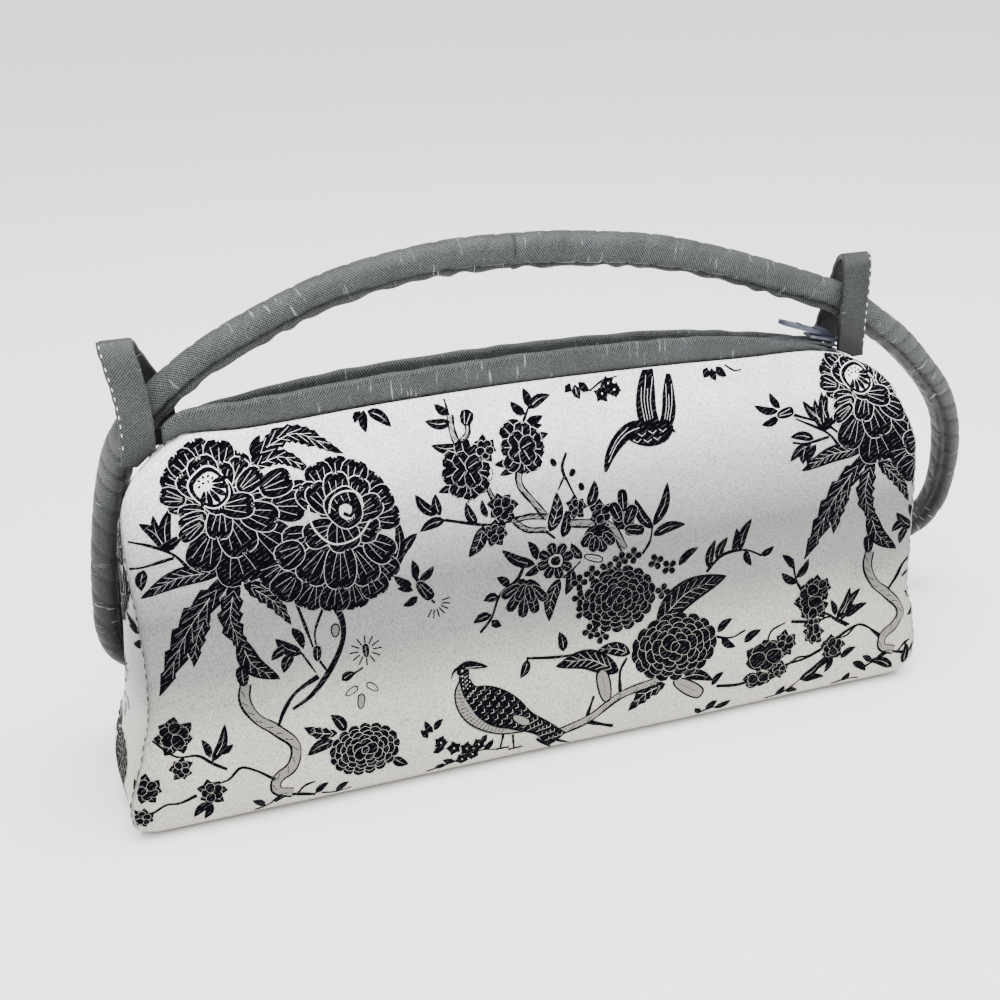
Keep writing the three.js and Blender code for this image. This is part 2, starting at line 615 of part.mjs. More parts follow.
// The pull hangs on the slider's eye by its pin. It is drawn with the pin at the origin, lying along -X:
// two arms beside the bridge, a long window, a raised rim round the grip and a small hole at the tip.
function pull() {
  const half = PULL_WIDTH / 2;
  const tip = -PULL_LENGTH + PULL_THICKNESS / 2;
  const armInside = BRIDGE_WIDTH / 2 + 2 * CLEAR;
  const windowEnd = 0.4 * tip;
  const outline = new THREE.Shape();
  const near = PULL_THICKNESS / 2;
  outline.moveTo(near, armInside);
  outline.lineTo(near, 0.72 * half);
  outline.quadraticCurveTo(0.15 * tip, half, 0.35 * tip, half);
  outline.lineTo(0.75 * tip, 0.86 * half);
  outline.quadraticCurveTo(tip, 0.8 * half, tip, 0);
  outline.quadraticCurveTo(tip, -0.8 * half, 0.75 * tip, -0.86 * half);
  outline.lineTo(0.35 * tip, -half);
  outline.quadraticCurveTo(0.15 * tip, -half, near, -0.72 * half);
  outline.lineTo(near, -armInside);
  outline.lineTo(windowEnd, -armInside);
  outline.lineTo(windowEnd, armInside);
  const hole = new THREE.Path();
  hole.absarc(0.88 * tip, 0, 0.28 * half, 0, 2 * Math.PI, false);
  outline.holes.push(hole);
  const options = { depth: PULL_THICKNESS, bevelEnabled: false, curveSegments: 6 };
  const frame = new THREE.ExtrudeGeometry(outline, options).translate(0, 0, -PULL_THICKNESS / 2);
  const pin = new THREE.CylinderGeometry(
    PIN_DIAMETER / 2, PIN_DIAMETER / 2, 2 * (armInside + PIN_ROOT), ROUND_SIDES);
  const bar = block(windowEnd - PULL_BAR / 2, windowEnd + PULL_BAR / 2, -half * 0.9, half * 0.9,
    0, PULL_THICKNESS / 2 + PULL_BAR_RISE);
  return joined(frame, pin, bar);
}
const pullMesh = add('zip_pull', pull(), zipMetal());
pullMesh.position.set(eyeX, 0, eyeZ).applyAxisAngle(new THREE.Vector3(0, 1, 0), sliderTilt);
pullMesh.position.add(sliderMesh.position);
pullMesh.rotation.y = THREE.MathUtils.degToRad(PULL_TILT);

// The handle: a padded silk tube closed into a ring. Its front half stands over the mouth, and its back
// half hangs behind the purse.
const halfDepthAt = smooth(
  stations.slice(0, lastOfFold + 1).map(({ out, up }) => ({ out, up })).reverse(), 'up', 'out');
const route = HANDLE_ROUTE.map(({ at, up, behind }) => new THREE.Vector3(
  at * HALF_LENGTH,
  behind * (halfDepthAt(up * HEIGHT) + HANDLE_RADIUS + HANG_GAP),
  up * HEIGHT,
));
const routeCurve = new THREE.CatmullRomCurve3(route, true, 'centripetal');
routeCurve.arcLengthDivisions = 800;
add('handle', new THREE.TubeGeometry(routeCurve, HANDLE_STEPS, HANDLE_RADIUS, HANDLE_SIDES, true),
  greySilk());

// The loops of tape that hold the handle, each sewn into a corner of the mouth by its two feet.
const astride = HANDLE_RADIUS + CLEAR + TAB_THICKNESS / 2;
function tab(table) {
  const line = table.map(({ at, up, apart }) => {
    const x = at * HALF_LENGTH;
    const foot = edgeHeight(x, Math.sign(apart)) + CLEAR;
    return new THREE.Vector3(x, apart * astride, Math.max(up * HEIGHT, foot));
  });
  const curve = new THREE.CatmullRomCurve3(line, false, 'centripetal');
  const rings = [];
  for (let i = 0; i <= TAB_STEPS; i++) {
    const p = curve.getPointAt(i / TAB_STEPS);
    const along = curve.getTangentAt(i / TAB_STEPS);
    const across = new THREE.Vector3(1, 0, 0).projectOnPlane(along).normalize();
    const thick = new THREE.Vector3().crossVectors(along, across);
    const ring = [[-1, -1], [1, -1], [1, 1], [-1, 1]].map(([w, t]) => p.clone()
      .addScaledVector(across, (w * TAB_WIDTH) / 2)
      .addScaledVector(thick, (t * TAB_THICKNESS) / 2));
    for (const corner of ring) {
      const foot = i === 0 || i === TAB_STEPS;
      const seat = edgeHeight(corner.x, Math.sign(p.y)) + TAB_SEAT;
      corner.z = Math.max(corner.z, foot ? seat : seat + CLEAR);
    }
    rings.push(ring);
  }
  return skin(rings);
}
add('tab_left', tab(TAB_LEFT), greySilk());
add('tab_right', tab(TAB_RIGHT), greySilk());

export default purse;
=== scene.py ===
import math

import bmesh
import bpy
import numpy as np
from mathutils import Matrix, Vector


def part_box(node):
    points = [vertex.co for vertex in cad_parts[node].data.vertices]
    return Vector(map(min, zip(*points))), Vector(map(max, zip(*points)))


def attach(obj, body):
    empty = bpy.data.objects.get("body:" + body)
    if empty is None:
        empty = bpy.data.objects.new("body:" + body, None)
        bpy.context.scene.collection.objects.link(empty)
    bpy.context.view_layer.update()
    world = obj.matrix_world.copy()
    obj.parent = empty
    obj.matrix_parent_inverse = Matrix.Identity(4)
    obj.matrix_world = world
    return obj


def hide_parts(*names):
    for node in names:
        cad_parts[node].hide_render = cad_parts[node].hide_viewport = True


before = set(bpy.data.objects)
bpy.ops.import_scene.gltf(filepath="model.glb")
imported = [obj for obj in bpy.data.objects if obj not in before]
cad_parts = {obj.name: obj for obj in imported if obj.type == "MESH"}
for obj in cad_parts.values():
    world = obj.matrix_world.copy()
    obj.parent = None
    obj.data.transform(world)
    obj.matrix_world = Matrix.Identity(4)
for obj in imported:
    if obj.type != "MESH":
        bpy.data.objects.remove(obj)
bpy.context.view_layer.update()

# The body: front, base and back of the purse in one wadded piece of silk brocade, silver-white satin
# over thin wadding and a lining. It folds under at the base, and its ends turn in at a sewn seam.
MM = 0.001
HEIGHT = 132 * MM
HALF_LENGTH = 145 * MM
HALF_DEPTH = 32.5 * MM
HALF_MOUTH = 9.5 * MM
FOLD = 8 * MM
WALL = 3 * MM
CLEAR = 0.3 * MM
LEFT, RIGHT = -1, 1
FRONT, BACK = -1, 1
UNDER_FOLD = FOLD * (1 - math.pi / 2)
CLOTH_DOWN = HEIGHT - UNDER_FOLD + HALF_DEPTH - FOLD

FACE_UP = [0.06, 0.15, 0.24, 0.36, 0.5, 0.66, 0.8, 0.9, 0.965, 1.0]
FACE_OUT = [1.0, 0.97, 0.9, 0.82, 0.74, 0.62, 0.45, 0.27, 0.11, 0.0]
END_UP = [0.0, 0.05, 0.11, 0.17, 0.24, 0.32, 0.46, 0.6, 0.74, 0.86, 0.93, 0.97, 1.0]
END_LEFT = [0.99, 1.002, 1.002, 0.982, 0.957, 0.937, 0.925, 0.927, 0.932, 0.925, 0.893, 0.852, 0.812]
END_LEFT_BACK = [0.99, 1.002, 1.0, 0.98, 0.955, 0.935, 0.925, 0.92, 0.908, 0.87, 0.83, 0.795, 0.77]
END_RIGHT = [0.995, 1.008, 1.02, 1.02, 1.01, 1.0, 1.004, 1.014, 1.02, 0.985, 0.952, 0.91, 0.86]
DROP_AT = [-1.0, -0.94, -0.8, -0.66, -0.5, -0.34, 0.0, 0.38, 0.66, 0.86, 0.956, 1.0]
DROP = [0.032, 0.016, 0.021, 0.017, 0.009, 0.004, 0.0, 0.006, 0.016, 0.021, 0.038, 0.05]

# Dents and swells: side, place along, reach along, height, reach up, rise; shares of the half length, of
# the height and of the half depth.
DENTS = [
    (FRONT, -0.97, 0.1, 0.25, 0.05, -0.09), (FRONT, -0.78, 0.2, 0.27, 0.04, -0.03),
    (FRONT, -0.72, 0.22, 0.12, 0.07, 0.03), (FRONT, 1.0, 0.07, 0.16, 0.04, -0.05),
    (FRONT, 0.98, 0.08, 0.27, 0.05, -0.05), (FRONT, 0.15, 0.5, 0.33, 0.1, -0.03),
    (FRONT, 0.1, 0.55, 0.75, 0.14, 0.04), (BACK, -0.2, 0.45, 0.5, 0.2, 0.03),
    (BACK, 0.55, 0.3, 0.3, 0.08, -0.04),
    # creases that run in from the pinched seam, and soft hollows along the foot
    (FRONT, -0.9, 0.07, 0.345, 0.018, 0.028), (FRONT, -0.88, 0.12, 0.29, 0.016, -0.022),
    (FRONT, -0.86, 0.09, 0.235, 0.02, 0.024), (FRONT, 0.93, 0.06, 0.33, 0.02, 0.018),
    (FRONT, 0.96, 0.05, 0.215, 0.018, 0.03), (FRONT, 0.97, 0.05, 0.11, 0.018, 0.026),
    (FRONT, -0.3, 0.3, 0.1, 0.05, 0.02), (FRONT, 0.5, 0.3, 0.12, 0.05, 0.018),
    (BACK, -0.75, 0.2, 0.72, 0.12, -0.05), (BACK, 0.2, 0.4, 0.75, 0.12, 0.03),
    (BACK, -0.5, 0.3, 0.14, 0.05, 0.02), (BACK, 0.85, 0.1, 0.2, 0.04, -0.03),
]


def smooth(places, values):
    """A smooth curve through values, read at any place."""
    x, y = np.array(places, float), np.array(values, float)
    before, after = np.maximum(np.arange(len(x)) - 1, 0), np.minimum(np.arange(len(x)) + 1, len(x) - 1)
    slope = (y[after] - y[before]) / (x[after] - x[before])

    def read(place):
        place = np.clip(place, x[0], x[-1])
        i = np.clip(np.searchsorted(x, place, side="right") - 1, 0, len(x) - 2)
        span = x[i + 1] - x[i]
        t = (place - x[i]) / span
        bend = t * t * (3 - 2 * t)
        lean = slope[i] * (t ** 3 - 2 * t * t + t) + slope[i + 1] * (t ** 3 - t * t)
        return y[i] * (1 - bend) + y[i + 1] * bend + span * lean
    return read


face_out = smooth(FACE_UP, FACE_OUT)
end_left = smooth(END_UP, END_LEFT)
end_left_back = smooth(END_UP, END_LEFT_BACK)
end_right = smooth(END_UP, END_RIGHT)
mouth_drop = smooth(DROP_AT, DROP)


def half_length(up, end, side):
    """Half the body's length at a height, at one end and on one side."""
    left = np.where(side > 0, end_left_back(up / HEIGHT), end_left(up / HEIGHT))
    return HALF_LENGTH * np.where(end > 0, end_right(up / HEIGHT), left)


def ripple(along, pitch, phase=0.0):
    """The uneven run of small puckers that hand sewing leaves along a seam."""
    turn = 2 * math.pi * along / pitch
    return np.sin(turn + phase + 1.4 * np.sin(turn / 4.3 + 2 * phase)) * (0.65 + 0.35 * np.sin(turn / 2.7 + phase))


def relief(x, up, side, half):
    """How far dents, swells and puckers move the cloth out of its section."""
    rise = np.zeros_like(x)
    for face, at, reach, height, tall, out in DENTS:
        along, above = (x / HALF_LENGTH - at) / reach, (up / HEIGHT - height) / tall
        rise += np.where(side == face, out * HALF_DEPTH * np.exp(-along * along - above * above), 0)
    from_end = np.maximum(half - np.abs(x), 0)
    phase = np.where(x > 0, 1.0, 0.0) + side
    rise += 0.42 * MM * np.exp(-from_end / (5 * MM)) * ripple(up, 8.5 * MM, phase)
    rise += 0.22 * MM * np.exp(-(HEIGHT - up) / (4 * MM)) * ripple(x, 7.5 * MM, side)
    rise += 0.35 * MM * np.sin(x / (19 * MM) + 2.1 * np.sin(up / (23 * MM)) + side)
    turned = 1.8 * MM * np.maximum(0, 1 - from_end / (7 * MM)) ** 2
    return rise * np.clip(up / FOLD, 0, 1) - turned


def cloth(side, x, v, lift=0.0):
    """A point of the brocade: x along the purse, v the height along the cloth, which goes under at the
    base below the fold, and lift above the cloth."""
    side, x, v = np.broadcast_arrays(np.asarray(side, float), np.asarray(x, float), np.asarray(v, float))
    turn = np.clip((FOLD - v) / FOLD, 0, math.pi / 2)
    under = np.maximum(0, UNDER_FOLD - v)
    on_face = v >= FOLD
    up = np.where(on_face, np.minimum(v, HEIGHT), FOLD - FOLD * np.sin(turn))
    share = face_out(up / HEIGHT)
    out = np.where(on_face, HALF_MOUTH + (HALF_DEPTH - HALF_MOUTH) * share,
                   HALF_DEPTH - FOLD + FOLD * np.cos(turn)) - under
    step = 0.5 * MM
    slope = (HALF_DEPTH - HALF_MOUTH) * (face_out((up - step) / HEIGHT) - face_out((up + step) / HEIGHT))
    lean = np.arctan2(slope, 2 * step)
    normal_out = np.where(on_face, np.cos(lean), np.cos(turn))
    normal_up = np.where(on_face, np.sin(lean), -np.sin(turn))
    half = half_length(up, np.sign(x), side)
    drop = mouth_drop(x / half) * HEIGHT * (up / HEIGHT) ** 2
    off = relief(x, up, side, half) + lift
    return np.stack([x, side * (out + normal_out * off), up - drop + normal_up * off], -1)


def patch(bm, along, across, shape):
    """A grid of along by across faces, laid where shape(t, c) puts it: t from 0 to 1, c from -1 to 1."""
    made = bmesh.ops.create_grid(bm, x_segments=along, y_segments=across, size=1, calc_uvs=True)["verts"]
    flat = np.array([v.co[:] for v in made])
    for vert, place in zip(made, shape((flat[:, 0] + 1) / 2, flat[:, 1])):
        vert.co = place
    return made


def new_mesh():
    bm = bmesh.new()
    bm.loops.layers.uv.new("UVMap")
    return bm


def scale_uv(bm, along, across):
    """The UV map in metres of cloth."""
    layer = bm.loops.layers.uv.active
    for face in bm.faces:
        for loop in face.loops:
            u, v = loop[layer].uv
            loop[layer].uv = (u * along, v * across)


def shade(made, values):
    """Painted shade, kept as an attribute: 0 where a surface is open, 1 where it lies darkest in a fold or under a
    stitch.
    """
    layer = made.data.attributes.new("shade", "FLOAT", "POINT")
    layer.data.foreach_set("value", np.clip(np.asarray(values, float), 0, 1).ravel())


def places(made):
    """The places of a mesh's vertices."""
    at = np.empty(3 * len(made.data.vertices))
    made.data.vertices.foreach_get("co", at)
    return at.reshape(-1, 3)


def piece(name, bm, material, body="bag"):
    """A finished piece from a bmesh, riding on its body."""
    mesh = bpy.data.meshes.new(name)
    bm.to_mesh(mesh)
    bm.free()
    mesh.shade_smooth()
    mesh.materials.append(material)
    made = bpy.data.objects.new(name, mesh)
    bpy.context.scene.collection.objects.link(made)
    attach(made, body)
    return made


def node(tree, kind, sockets=None, **settings):
    """A shader node with its settings, and its sockets set or linked."""
    made = tree.nodes.new("ShaderNode" + kind)
    for key, value in settings.items():
        setattr(made, key, value)
    for key, value in (sockets or {}).items():
        if isinstance(value, bpy.types.NodeSocket):
            tree.links.new(value, made.inputs[key])
        else:
            made.inputs[key].default_value = value
    return made


def ramp(tree, fac, *stops):
    """Colours or greys by place along a ramp."""
    made = node(tree, "ValToRGB", {"Fac": fac})
    bar = made.color_ramp.elements
    while len(bar) < len(stops):
        bar.new(0.5)
    for element, (place, color) in zip(bar, stops):
        element.position = place
        element.color = (*color, 1) if isinstance(color, tuple) else (color, color, color, 1)
    return made.outputs["Color"]


def mix(tree, fac, a, b, kind="MIX"):
    made = node(tree, "MixRGB", {"Fac": fac, "Color1": a, "Color2": b}, blend_type=kind)
    return made.outputs["Color"]


def new_group(name, inputs, outputs):
    tree = bpy.data.node_groups.new(name, "ShaderNodeTree")
    for socket, kind in inputs:
        tree.interface.new_socket(name=socket, in_out="INPUT", socket_type="NodeSocket" + kind)
    for socket, kind in outputs:
        tree.interface.new_socket(name=socket, in_out="OUTPUT", socket_type="NodeSocket" + kind)
    return tree, tree.nodes.new("NodeGroupInput").outputs, tree.nodes.new("NodeGroupOutput").inputs


# Threads seen close: two crossing sets of fine ridges, and the grain where single threads catch light.
threads, into, outof = new_group(
    "threads", [("Vector", "Vector"), ("Pitch", "Float"), ("Slant", "Float")],
    [("Height", "Float"), ("Grain", "Float")])
turned = node(threads, "VectorRotate", {"Vector": into["Vector"], "Angle": into["Slant"]}, rotation_type="Z_AXIS")
sized = node(threads, "VectorMath", {0: turned.outputs[0]}, operation="SCALE")
per = node(threads, "Math", {0: 0.314, 1: into["Pitch"]}, operation="DIVIDE")
threads.links.new(per.outputs[0], sized.inputs["Scale"])
ridge = node(threads, "TexWave", {"Vector": sized.outputs[0], "Scale": 1.0, "Distortion": 0.9, "Detail": 1.0,
                                  "Detail Scale": 0.6}, bands_direction="X")
cross = node(threads, "TexWave", {"Vector": sized.outputs[0], "Scale": 1.3, "Distortion": 1.2, "Detail": 1.0,
                                  "Detail Scale": 0.8}, bands_direction="Y")
both = node(threads, "Math", {0: ridge.outputs["Fac"], 1: cross.outputs["Fac"]}, operation="MULTIPLY")
fine = node(threads, "TexNoise", {"Vector": sized.outputs[0], "Scale": 2.6, "Detail": 2.0, "Roughness": 0.6})
threads.links.new(node(threads, "Math", {0: both.outputs[0], 1: fine.outputs["Fac"]}, operation="ADD").outputs[0],
                  outof["Height"])
threads.links.new(fine.outputs["Fac"], outof["Grain"])


def woven(tree, vector, pitch, slant):
    made = node(tree, "Group", node_tree=threads)
    tree.links.new(vector, made.inputs["Vector"])
    made.inputs["Pitch"].default_value = pitch
    made.inputs["Slant"].default_value = slant
    return made.outputs


def new_finish(name, roughness, sheen, specular=0.5):
    """A material with its shader: constants on the shader's own sockets."""
    material = bpy.data.materials.new(name)
    material.use_nodes = True
    tree = material.node_tree
    tree.nodes.clear()
    shader = node(tree, "BsdfPrincipled", {"Roughness": roughness, "Sheen Weight": sheen,
                                           "Specular IOR Level": specular})
    node(tree, "OutputMaterial", {"Surface": shader.outputs[0]})
    return material, tree, shader.inputs


def bump(tree, shader, height, distance, strength):
    made = node(tree, "Bump", {"Height": height, "Distance": distance, "Strength": strength})
    tree.links.new(made.outputs[0], shader["Normal"])


# The ground's colour: silver white and a little cloudy all over, with painted light laid in by height: a painted
# highlight near the top, painted shade across the middle, and a creamier painted floor bounce low down.
ground_tone, into, outof = new_group("ground_tone", [("Vector", "Vector")], [("Color", "Color")])
up_cloth = node(ground_tone, "SeparateXYZ", {"Vector": into["Vector"]}).outputs["Z"]
share_up = node(ground_tone, "MapRange", {"Value": up_cloth, "From Min": 0.0, "From Max": 0.13}).outputs[0]
# painted light and shade by height: bright at the top, dark across the middle, creamier low down
painted_light_by_height = ramp(ground_tone, share_up,
            (0.0, (0.45, 0.424, 0.362)), (0.25, (0.43, 0.408, 0.352)), (0.42, (0.19, 0.186, 0.175)),
            (0.57, (0.155, 0.155, 0.152)), (0.76, (0.46, 0.464, 0.463)), (0.9, (0.88, 0.888, 0.89)))
cloud = node(ground_tone, "TexNoise", {"Vector": into["Vector"], "Scale": 55.0, "Detail": 3.0}).outputs["Fac"]
clouded = ramp(ground_tone, cloud, (0.3, 0.92), (0.7, 1.04))
ground_tone.links.new(mix(ground_tone, 1.0, painted_light_by_height, clouded, "MULTIPLY"), outof["Color"])


def ground_color_and_painted_light(tree):
    made = node(tree, "Group", node_tree=ground_tone)
    tree.links.new(node(tree, "TexCoord").outputs["Object"], made.inputs["Vector"])
    return made.outputs["Color"]


# Satin with a fine slanting grain, on the ground's colour with its painted light, darkened by the painted shade
# attribute.
satin, tree, shader = new_finish("brocade_satin", 0.38, 0.1, 0.7)
place = node(tree, "TexCoord").outputs["Object"]
upright = node(tree, "Mapping", {"Vector": place, "Rotation": (math.pi / 2, 0, 0)}).outputs[0]
weave = woven(tree, upright, 0.62 * MM, 0.7)
grain = ramp(tree, weave["Grain"], (0.3, 0.56), (0.5, 0.95), (0.7, 1.22))
# painted shade from the shade attribute: darker in seam grooves and folds
painted_shade = node(tree, "Attribute", attribute_name="shade").outputs["Fac"]
painted_shade_dim = ramp(tree, painted_shade, (0.0, 1.0), (1.0, 0.22))
ground = mix(tree, 1.0, ground_color_and_painted_light(tree), grain, "MULTIPLY")
tree.links.new(mix(tree, 1.0, ground, painted_shade_dim, "MULTIPLY"), shader["Base Color"])
bump(tree, shader, weave["Height"], 0.12 * MM, 0.35)

ROWS, COLUMNS = 216, 196
bm = new_mesh()


def body_shape(t, c):
    at = 2 * t - 1
    at = at + 0.1 * np.sin(math.pi * at)
    side = np.where(c < 0, FRONT, BACK)
    v = HEIGHT - (1 - np.abs(c)) * CLOTH_DOWN
    up = np.where(v >= FOLD, v, FOLD - FOLD * np.sin(np.clip((FOLD - v) / FOLD, 0, math.pi / 2)))
    return cloth(side, at * half_length(up, np.sign(at), side), v)


patch(bm, COLUMNS, ROWS, body_shape)
bmesh.ops.recalc_face_normals(bm, faces=bm.faces)
front_face = min(bm.faces, key=lambda f: (f.calc_center_median() - Vector((0, -0.03, 0.04))).length)
if front_face.normal.y > 0:
    bmesh.ops.reverse_faces(bm, faces=bm.faces)
body = piece("brocade_body", bm, satin)
# painted shade in the grooves at the ends, where the cloth turns in at the seam
at = places(body)
sides = np.where(at[:, 1] < 0, FRONT, BACK)
inside = half_length(np.clip(at[:, 2], 0, HEIGHT), np.sign(at[:, 0]), sides) - np.abs(at[:, 0])
shade(body, 0.85 * np.exp(-np.maximum(inside, 0) / (0.8 * MM)) + 0.14 * np.exp(-np.maximum(inside, 0) / (5 * MM)))
wall = body.modifiers.new("wall", "SOLIDIFY")
wall.thickness, wall.offset = WALL, -1
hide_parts("body_brocade")

# The gussets: a padded wedge of the same brocade at each end, sewn in behind the body's turned edge and
# domed outwards by the wadding.
GUSSET_INSET = 2.5 * MM
GUSSET_SWELL = 7.5 * MM
gusset_swell = smooth([0.0, 0.08, 0.35, 0.7, 0.9, 1.0], [0.35, 0.6, 1.0, 0.75, 0.35, 0.15])


def hang_depth(up):
    """How far the front and back stand from the middle at a height."""
    return np.where(up >= FOLD, HALF_MOUTH + (HALF_DEPTH - HALF_MOUTH) * face_out(up / HEIGHT), HALF_DEPTH)


def gusset_point(end, v, across, lift=0.0):
    """A point of a gusset: v the height along its edge, across from -1 at the front to 1 at the back."""
    turn = np.clip((FOLD - v) / FOLD, 0, math.pi / 2)
    up = np.where(v >= FOLD, v, FOLD - FOLD * np.sin(turn))
    rims = []
    for side in (FRONT, BACK):
        x = end * (half_length(up, np.full_like(up, end), np.full_like(up, side)) - GUSSET_INSET)
        rims.append(cloth(np.full_like(up, side), x, v, -(WALL + CLEAR) + 1.8 * MM * (1 - GUSSET_INSET / (7 * MM)) ** 2))
    share = ((across + 1) / 2)[:, None]
    place = rims[0] * (1 - share) + rims[1] * share
    dome = (1 - np.abs(across) ** 2.5) ** 0.7
    edge = np.exp(-(1 - np.abs(across)) / 0.16)
    swell = GUSSET_SWELL * gusset_swell(up / HEIGHT) * dome
    swell += 0.4 * MM * edge * dome * ripple(up, 9 * MM, np.sign(across) + end)
    swell += 0.5 * MM * dome * np.sin(up / (15 * MM) + 3 * across + end)
    place[:, 0] += end * (swell + lift)
    return place


for name, end in (("gusset_left", LEFT), ("gusset_right", RIGHT)):
    bm = new_mesh()
    patch(bm, 90, 48, lambda t, c: gusset_point(
        end, HEIGHT - t * (HEIGHT - UNDER_FOLD), -np.cos((c + 1) / 2 * math.pi)))
    bmesh.ops.recalc_face_normals(bm, faces=bm.faces)
    if sum(f.normal.x for f in bm.faces) * end < 0:
        bmesh.ops.reverse_faces(bm, faces=bm.faces)
    gusset = piece(name.replace("gusset", "brocade_gusset"), bm, satin)
    # painted shade along the gusset's edges, in the groove where it meets the body
    at = places(gusset)
    rim = hang_depth(at[:, 2]) - np.abs(at[:, 1])
    shade(gusset, 0.9 * np.exp(-np.maximum(rim - WALL, 0) / (1.6 * MM)))
    wall = gusset.modifiers.new("wall", "SOLIDIFY")
    wall.thickness, wall.offset = WALL, -1
    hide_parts(name)

# The pattern of the brocade: two birds, peonies and chrysanthemums among leafy branches, woven in with black,
# white and grey thread that stands a little proud of the satin. The chart is drawn in millimetres, along and
# up the cloth, and the run of flowers comes again further along and a little higher.
BLACK, WHITE, GREY = "black", "white", "grey"
REPEAT, CLIMB = 231.0, 5.5
PROUD, LAYER = 0.14, 0.022
CELL = 1.2
chart = {thread: new_mesh() for thread in (BLACK, WHITE, GREY)}
shift = np.zeros(2)


def smooth_line(points, closed, steps):
    """Evenly spaced points, and their directions, on a smooth curve through points."""
    p = np.array(points, float)
    if closed:
        p = np.vstack([p[-1:], p, p[:2]])
    else:
        p = np.vstack([2 * p[0] - p[1], p, 2 * p[-1] - p[-2]])
    t = np.linspace(0, 1, 24, endpoint=False)[:, None]
    line = []
    for a, b, c, d in zip(p, p[1:], p[2:], p[3:]):
        ab, bc, cd = (max(np.linalg.norm(q - r) ** 0.5, 1e-6) for q, r in ((b, a), (c, b), (d, c)))
        out = ((b - a) / ab - (c - a) / (ab + bc) + (c - b) / bc) * bc
        back = ((c - b) / bc - (d - b) / (bc + cd) + (d - c) / cd) * bc
        bend = t * t * (3 - 2 * t)
        line.append(b * (1 - bend) + c * bend + out * (t ** 3 - 2 * t * t + t) + back * (t ** 3 - t * t))
    line = np.vstack(line + [p[1:2] if closed else p[-2:-1]])
    far = np.concatenate([[0], np.cumsum(np.linalg.norm(np.diff(line, axis=0), axis=1))])
    at = np.linspace(0, far[-1], steps + 1)
    even = np.stack([np.interp(at, far, line[:, k]) for k in range(line.shape[1])], -1)
    if closed:
        way = np.roll(even[:-1], -1, axis=0) - np.roll(even[:-1], 1, axis=0)
        way = np.vstack([way, way[:1]])
    else:
        way = np.gradient(even, axis=0)
    return even, way / np.linalg.norm(way, axis=1)[:, None], far[-1]


def pairs(row):
    """A row of numbers as chart points."""
    return [tuple(row[k:k + 2]) for k in range(0, len(row) - 1, 2)]


def ribbon(thread, points, wide, level=0, cells=1):
    """A ribbon of thread on a smooth curve; wide is its width, or gives it at each share of the length."""
    if min(x for x, _ in points) + shift[0] > 152:
        return
    n = max(2, int(sum(math.dist(a, b) for a, b in zip(points, points[1:])) / CELL))
    line, way, _ = smooth_line(points, False, n)
    across = np.stack([-way[:, 1], way[:, 0]], -1)

    def shape(t, c):
        i = np.rint(t * n).astype(int)
        width = wide(t) if callable(wide) else np.full_like(t, wide)
        place = line[i] + across[i] * (c * width / 2)[:, None] + shift
        return np.column_stack([place, np.full_like(t, level)])
    patch(chart[thread], n, cells, shape)


def stem(wide, *row, thread=BLACK, level=0):
    ribbon(thread, pairs(row), lambda t: wide * (1.05 - 0.4 * t) + 0.15 * wide * np.sin(9 * t + row[0]), level)


def leaf(root, tip, wide, via=None, teeth=0, thread=BLACK, level=0):
    """A pointed leaf, solid where it is small; a broad one has a pale midrib and side veins."""
    (ax, ay), (bx, by) = root, tip
    length = math.dist(root, tip)
    bow = 0.09 * math.copysign(1, math.sin(ax * 3.1 + by))
    via = via or ((ax + bx) / 2 - bow * (by - ay), (ay + by) / 2 + bow * (bx - ax))
    points = [root, via, tip]

    def outline(t):
        width = 1.3 * wide * np.sin(math.pi * np.clip(t, 0.004, 0.996) ** 0.78) ** 0.72
        if teeth:
            width = width * (1.06 - 0.42 * ((t * teeth) % 1))
        return np.maximum(width, 0.12)

    ribbon(thread, points, outline, level, 2 if wide < 3 else 4)
    pale = WHITE if thread == BLACK else BLACK
    if wide < 2.5:
        return
    foot, _, _ = smooth_line(points, False, 10)
    ribbon(pale, [tuple(foot[2]), tuple(foot[5]), tuple(foot[8])], lambda t: (0.08 + 0.03 * wide) * (1.1 - t), level + 1)
    if wide < 3.4:
        return
    line, way, _ = smooth_line(points, False, 40)
    across = np.stack([-way[:, 1], way[:, 0]], -1)
    for k in range(5, 33, max(4, int(120 / length))):
        for hand in (-1, 1):
            far = line[k + 5] + across[k + 5] * hand * 0.36 * float(outline(np.array([(k + 5) / 40]))[0])
            ribbon(pale, [tuple(line[k]), tuple(far)], 0.11, level + 1)


def petal(x, z, tall, wide, turn, thread=BLACK, level=0, rim=0.24, veins=3, lobes=0):
    """A petal about its middle, pointing the way turn gives: a pale rim, the dark fill and pale veins."""
    if x - tall + shift[0] > 152:
        return
    way = np.array([math.cos(turn), math.sin(turn)])
    across = np.array([-way[1], way[0]])
    pale = WHITE if thread == BLACK else BLACK

    def fan(less):
        def shape(t, c):
            along = -np.cos(math.pi * t) / 2
            share = np.sin(math.pi * np.clip(t, 0.02, 0.98)) ** 0.62 * (0.72 + 0.4 * t)
            along = along + (0.07 * np.cos(c * lobes * math.pi) * (along + 0.5) ** 2 if lobes else 0)
            place = np.outer(along * (tall - 2 * less), way) + np.outer(c * share * (wide / 2 - less), across)
            return np.column_stack([place + (x, z) + shift, np.full_like(t, level + (1 if less else 0))])
        return shape

    cells = max(4, int(tall / CELL)), max(3 if not lobes else 2 * lobes + 2, int(wide / CELL))
    if rim:
        patch(chart[pale], *cells, fan(0.0))
    patch(chart[thread], *cells, fan(rim))
    middle = np.array([x, z])
    for k in range(veins):
        lean = (k - (veins - 1) / 2) / max(veins, 2) * 1.25
        foot = middle - way * 0.34 * tall + across * lean * 0.18 * wide
        knee = middle + way * 0.02 * tall + across * lean * 0.44 * wide
        head = middle + way * 0.3 * tall + across * lean * 0.6 * wide
        ribbon(pale, [tuple(foot), tuple(knee), tuple(head)], 0.12, level + 2)


